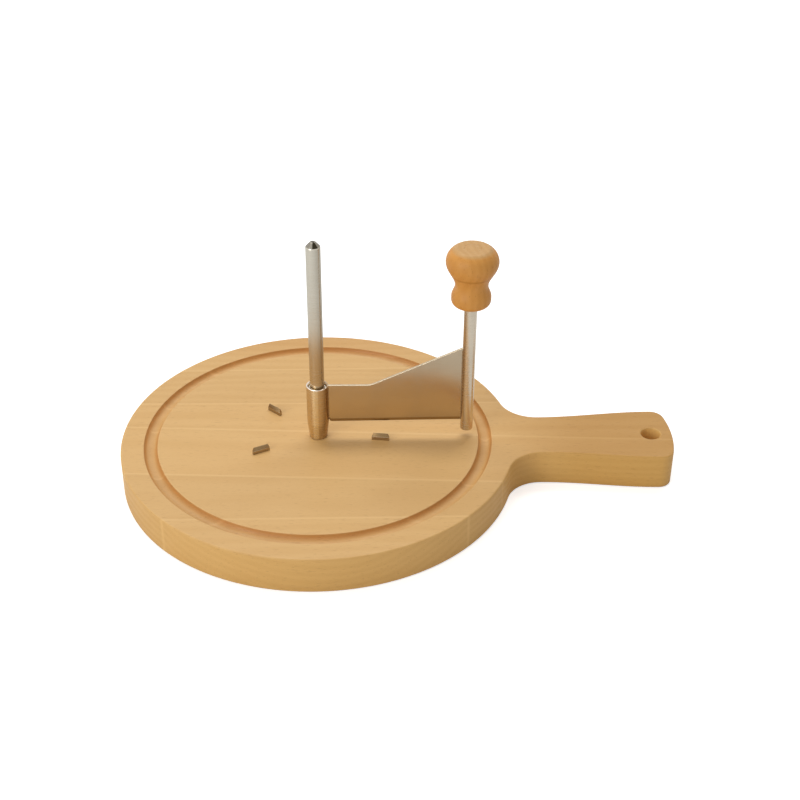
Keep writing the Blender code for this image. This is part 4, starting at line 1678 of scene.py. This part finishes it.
@dataclass
class Knob:
    """The turned wooden knob, the plug in its crown, and the fittings inside."""

    base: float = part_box("knob")[0].z
    top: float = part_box("knob")[1].z
    axis_x: float = box_middle("knob").x
    base_round: float = 0.0037
    skirt_radius: float = 0.0107
    skirt_band: float = 0.0054
    skirt_rise: float = 0.0065
    neck_radius: float = 0.0089
    waist_height: float = 0.0189
    bulb_radius: float = box_radius("knob")
    bulb_rise: float = 0.0137
    crown_radius: float = 0.0088
    crown_soft: float = 0.003
    plug_radius: float = box_radius("knob_plug")
    plug_base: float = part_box("knob_plug")[0].z
    plug_edge: float = 0.00008
    socket_radius: float = 0.0038
    socket_depth: float = 0.003
    bush_seat: float = 0.0043
    ledge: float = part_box("knob_bush")[1].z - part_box("knob")[0].z
    steps: int = 96
    base_steps: int = 10
    wave_steps: int = 24
    crown_steps: int = 16
    plug_steps: int = 56
    plug_round_steps: int = 3

    def waved(self, start: float, end: float, base: float, rise: float) -> list[Point]:
        """Points of a swept S from one radius to another, upright at both ends.

        Args:
            start: the first radius.
            end: the last radius.
            base: the height that it starts at.
            rise: how far it goes up.

        Returns:
            The (radius, height) points.
        """
        points = []
        for step in range(self.wave_steps + 1):
            share = step / self.wave_steps
            sweep = (1 - math.cos(math.pi * share)) / 2
            points.append((start + (end - start) * sweep, base + rise * share))
        return points

    def outline(self) -> list[Point]:
        """Outside of the knob from its base to its crown.

        Returns:
            The (radius, height) points.
        """
        height = self.top - self.base
        neck_height = self.skirt_band + self.skirt_rise
        bulb_height = neck_height + self.bulb_rise
        crown_rise = height - bulb_height
        centre = (self.skirt_radius - self.base_round, self.base_round)
        points = arc(centre, self.base_round, -90, 0, self.base_steps)
        points += self.waved(self.skirt_radius, self.neck_radius, self.skirt_band, self.skirt_rise)
        points += self.waved(self.neck_radius, self.bulb_radius, neck_height, self.bulb_rise)[1:]
        inset = self.bulb_radius - self.crown_radius
        sweep = (inset**2 + crown_rise**2) / (2 * inset)
        angle = math.degrees(math.atan2(crown_rise, sweep - inset))
        points += arc((self.bulb_radius - sweep, bulb_height), sweep, 0, angle, self.crown_steps)[1:-1]
        crown = (self.crown_radius, height, self.crown_soft)
        return points + softened([(*points[-1], 0), crown, (self.plug_radius, height, 0)])[1:-1]

    def finish(self, name: str) -> WoodFinish:
        """Choose the finish of the knob or its plug.

        Args:
            name: the material's name.

        Returns:
            Warm lacquered beech with upright grain, with a painted highlight on the crown and painted shade
            at the waist.
        """
        waist = self.base + self.waist_height
        return WoodFinish(
            name=name,
            pale=(0.71, 0.345, 0.085),
            deep=(0.57, 0.235, 0.046),
            fleck=(0.36, 0.14, 0.03),
            grain=Grain.UPRIGHT,
            centre=(0.0, 0.0, -self.axis_x),
            roughness=0.42,
            specular=0.2,
            coat=0.03,
            ring_pitch=0.0034,
            figure=0.6,
            flecking=0.3,
            zones=(
                # Crown paler and bluer: painted highlight.
                Zone((0.91, 1.15, 1.90), low=self.top - 0.0019, soft=0.0016),
                # Darker band at the waist: painted shade.
                Zone((0.82, 0.75, 0.62), low=waist - 0.0012, high=waist + 0.0012, soft=0.0011),
            ),
        )

    def build(self, lathe: LatheTree) -> None:
        """Build the knob and its plug, and dress the fittings that it hides.

        Args:
            lathe: the tree that turns them.
        """
        top_bore = self.plug_radius + HAIRLINE
        bore = [
            (top_bore, self.top - self.base),
            (top_bore, self.ledge),
            (self.bush_seat, self.ledge),
            (self.bush_seat, self.socket_depth),
            (self.socket_radius, self.socket_depth),
            (self.socket_radius, 0),
        ]
        wood = self.finish("knob_beech").material()
        place = Vector((self.axis_x, 0, self.base))
        knob = lathe.turn("turned_knob", self.outline() + bore, self.steps, wood, place, ring=True)
        hand_over(knob, Body.KNOB, Slot.KNOB_WOOD, "knob")
        height = self.top - self.plug_base
        plug = softened(
            [
                (0, 0, 0),
                (self.plug_radius, 0, BROKEN),
                (self.plug_radius, height, self.plug_edge),
                (0, height, 0),
            ],
            self.plug_round_steps,
        )
        place = Vector((self.axis_x, 0, self.plug_base))
        cap = lathe.turn("knob_cap", plug, self.plug_steps, self.finish("plug_beech").material(), place)
        hand_over(cap, Body.KNOB, Slot.KNOB_WOOD, "knob_plug")
        self.dress_fittings()

    def dress_fittings(self) -> None:
        """Give the bush, washer and screw inside the knob their metals."""
        brass = MetalFinish("turned_brass", (0.78, 0.58, 0.26), (0.62, 0.44, 0.18), 0.28).material()
        steel = plain_steel("inner_steel")
        for node, material in (("knob_bush", brass), ("knob_washer", steel), ("knob_screw", steel)):
            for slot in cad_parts[node].material_slots:
                slot.material = material
            log.info("%s: dressed in %s", node, material.name)


@dataclass(frozen=True)
class Viewpoint:
    """The picture's camera, solved from the board's rims, the groove and the uprights."""

    focal: float = 1387.3
    frame_width: float = 800.0
    sensor: float = 36.0
    elevation: float = 32.833
    bearing: float = 1.246
    roll: float = -0.396
    distance: float = 0.78079
    aside: float = 0.04564
    above: float = 0.02012
    nearest: float = 0.01
    farthest: float = 50.0

    def build(self) -> None:
        """Create the camera and make it the scene's own."""
        tilt, turn, roll = (math.radians(a) for a in (self.elevation, self.bearing, self.roll))
        ahead = Vector((math.sin(turn) * math.cos(tilt), math.cos(turn) * math.cos(tilt), -math.sin(tilt)))
        right = Vector((math.cos(turn), -math.sin(turn), 0.0))
        up = right.cross(ahead)
        place = on_spindle(BOARD_TOP) - ahead * self.distance + right * self.aside + up * self.above
        side = right * math.cos(roll) - up * math.sin(roll)
        lift = right * math.sin(roll) + up * math.cos(roll)
        data = bpy.data.cameras.new("picture_camera")
        data.sensor_width = self.sensor
        data.lens = self.focal / self.frame_width * self.sensor
        data.clip_start, data.clip_end = self.nearest, self.farthest
        camera = make_object("picture_camera", data)
        turned = Matrix((side, lift, -ahead)).transposed().to_4x4()
        camera.matrix_world = Matrix.Translation(place) @ turned
        bpy.context.scene.camera = camera
        log.info("camera: %.1f mm lens, %.3f m from the spindle", data.lens, self.distance)


@dataclass(frozen=True)
class Lamp:
    """A soft white light: place, width, depth, and how bright it makes a white card that faces it."""

    name: str
    place: tuple[float, float, float]
    width: float
    depth: float
    level: float

    def build(self, target: Vector) -> None:
        """Hang the lamp and turn it to the target.

        Args:
            target: the point that it faces.
        """
        reach = target - Vector(self.place)
        data = bpy.data.lights.new(self.name, "AREA")
        data.shape = "RECTANGLE"
        data.size, data.size_y = self.width, self.depth
        data.energy = self.level * (math.pi * reach.length) ** 2
        lamp = make_object(self.name, data)
        turn = reach.to_track_quat("-Z", "Y").to_matrix().to_4x4()
        lamp.matrix_world = Matrix.Translation(self.place) @ turn
        log.info("lamp %s: %.1f W", self.name, data.energy)


@dataclass(frozen=True)
class Studio:
    """A pale floor, a white surround and soft lamps."""

    floor_side: float = 8.0
    floor_drop: float = 0.0003
    floor_albedo: float = 0.82
    floor_glow: float = 0.60
    surround: float = 0.43
    lamps: tuple[Lamp, ...] = (
        Lamp("strip_behind", (-0.10, 0.58, 1.33), width=1.6, depth=0.50, level=0.56),
        Lamp("left_front", (-1.07, -1.08, 0.75), width=0.9, depth=0.9, level=0.39),
    )

    def build_floor(self) -> None:
        """The floor, white where it is seen, with the object's shadow on it."""
        half = self.floor_side / 2
        mesh = bpy.data.meshes.new("studio_floor")
        signs = ((-1, -1), (1, -1), (1, 1), (-1, 1))
        mesh.from_pydata([(x * half, y * half, -self.floor_drop) for x, y in signs], [], [(0, 1, 2, 3)])
        material, w, shader, _ = start_material("studio_floor")
        direct = w.node("ShaderNodeLightPath").outputs["Is Camera Ray"]
        feeds = {
            "Base Color": (self.floor_albedo,) * 3,
            "Roughness": 1.0,
            "Specular IOR Level": 0.0,
            "Emission Color": WHITE,
            "Emission Strength": w.times(direct, self.floor_glow),
        }
        w.feed(shader.inputs, feeds)
        mesh.materials.append(material)
        make_object("studio_floor", mesh)

    def build_world(self) -> None:
        """The surround: white where it is seen directly or in gloss, else a plain soft light."""
        world = bpy.data.worlds.new("studio_world")
        world.use_nodes = True
        w = Wiring(world.node_tree)
        path = w.node("ShaderNodeLightPath").outputs
        seen = w.math("MAXIMUM", path["Is Camera Ray"], path["Is Glossy Ray"])
        seen = w.math("MAXIMUM", seen, path["Is Transmission Ray"])
        feeds = {"Color": WHITE, "Strength": w.ramp(seen, 0.0, 1.0, self.surround, 1.0)}
        w.feed(world.node_tree.nodes["Background"].inputs, feeds)
        bpy.context.scene.world = world

    def build(self) -> None:
        """Set up floor, surround and lamps."""
        bpy.context.scene.view_settings.view_transform = "Standard"
        self.build_floor()
        self.build_world()
        for lamp in self.lamps:
            lamp.build(on_spindle(BOARD_TOP))


def main() -> None:
    """Build camera, studio and pieces in order."""
    logging.basicConfig(level=logging.INFO, format="%(name)s: %(message)s")
    Viewpoint().build()
    Studio().build()
    lathe = LatheTree()
    teeth = GripTeeth()
    Board().build(teeth)
    teeth.build(StandTree())
    SpindleSet().build(lathe)
    Scraper().build(lathe, BeadTree())
    Knob().build(lathe)


if __name__ == "__main__":
    main()
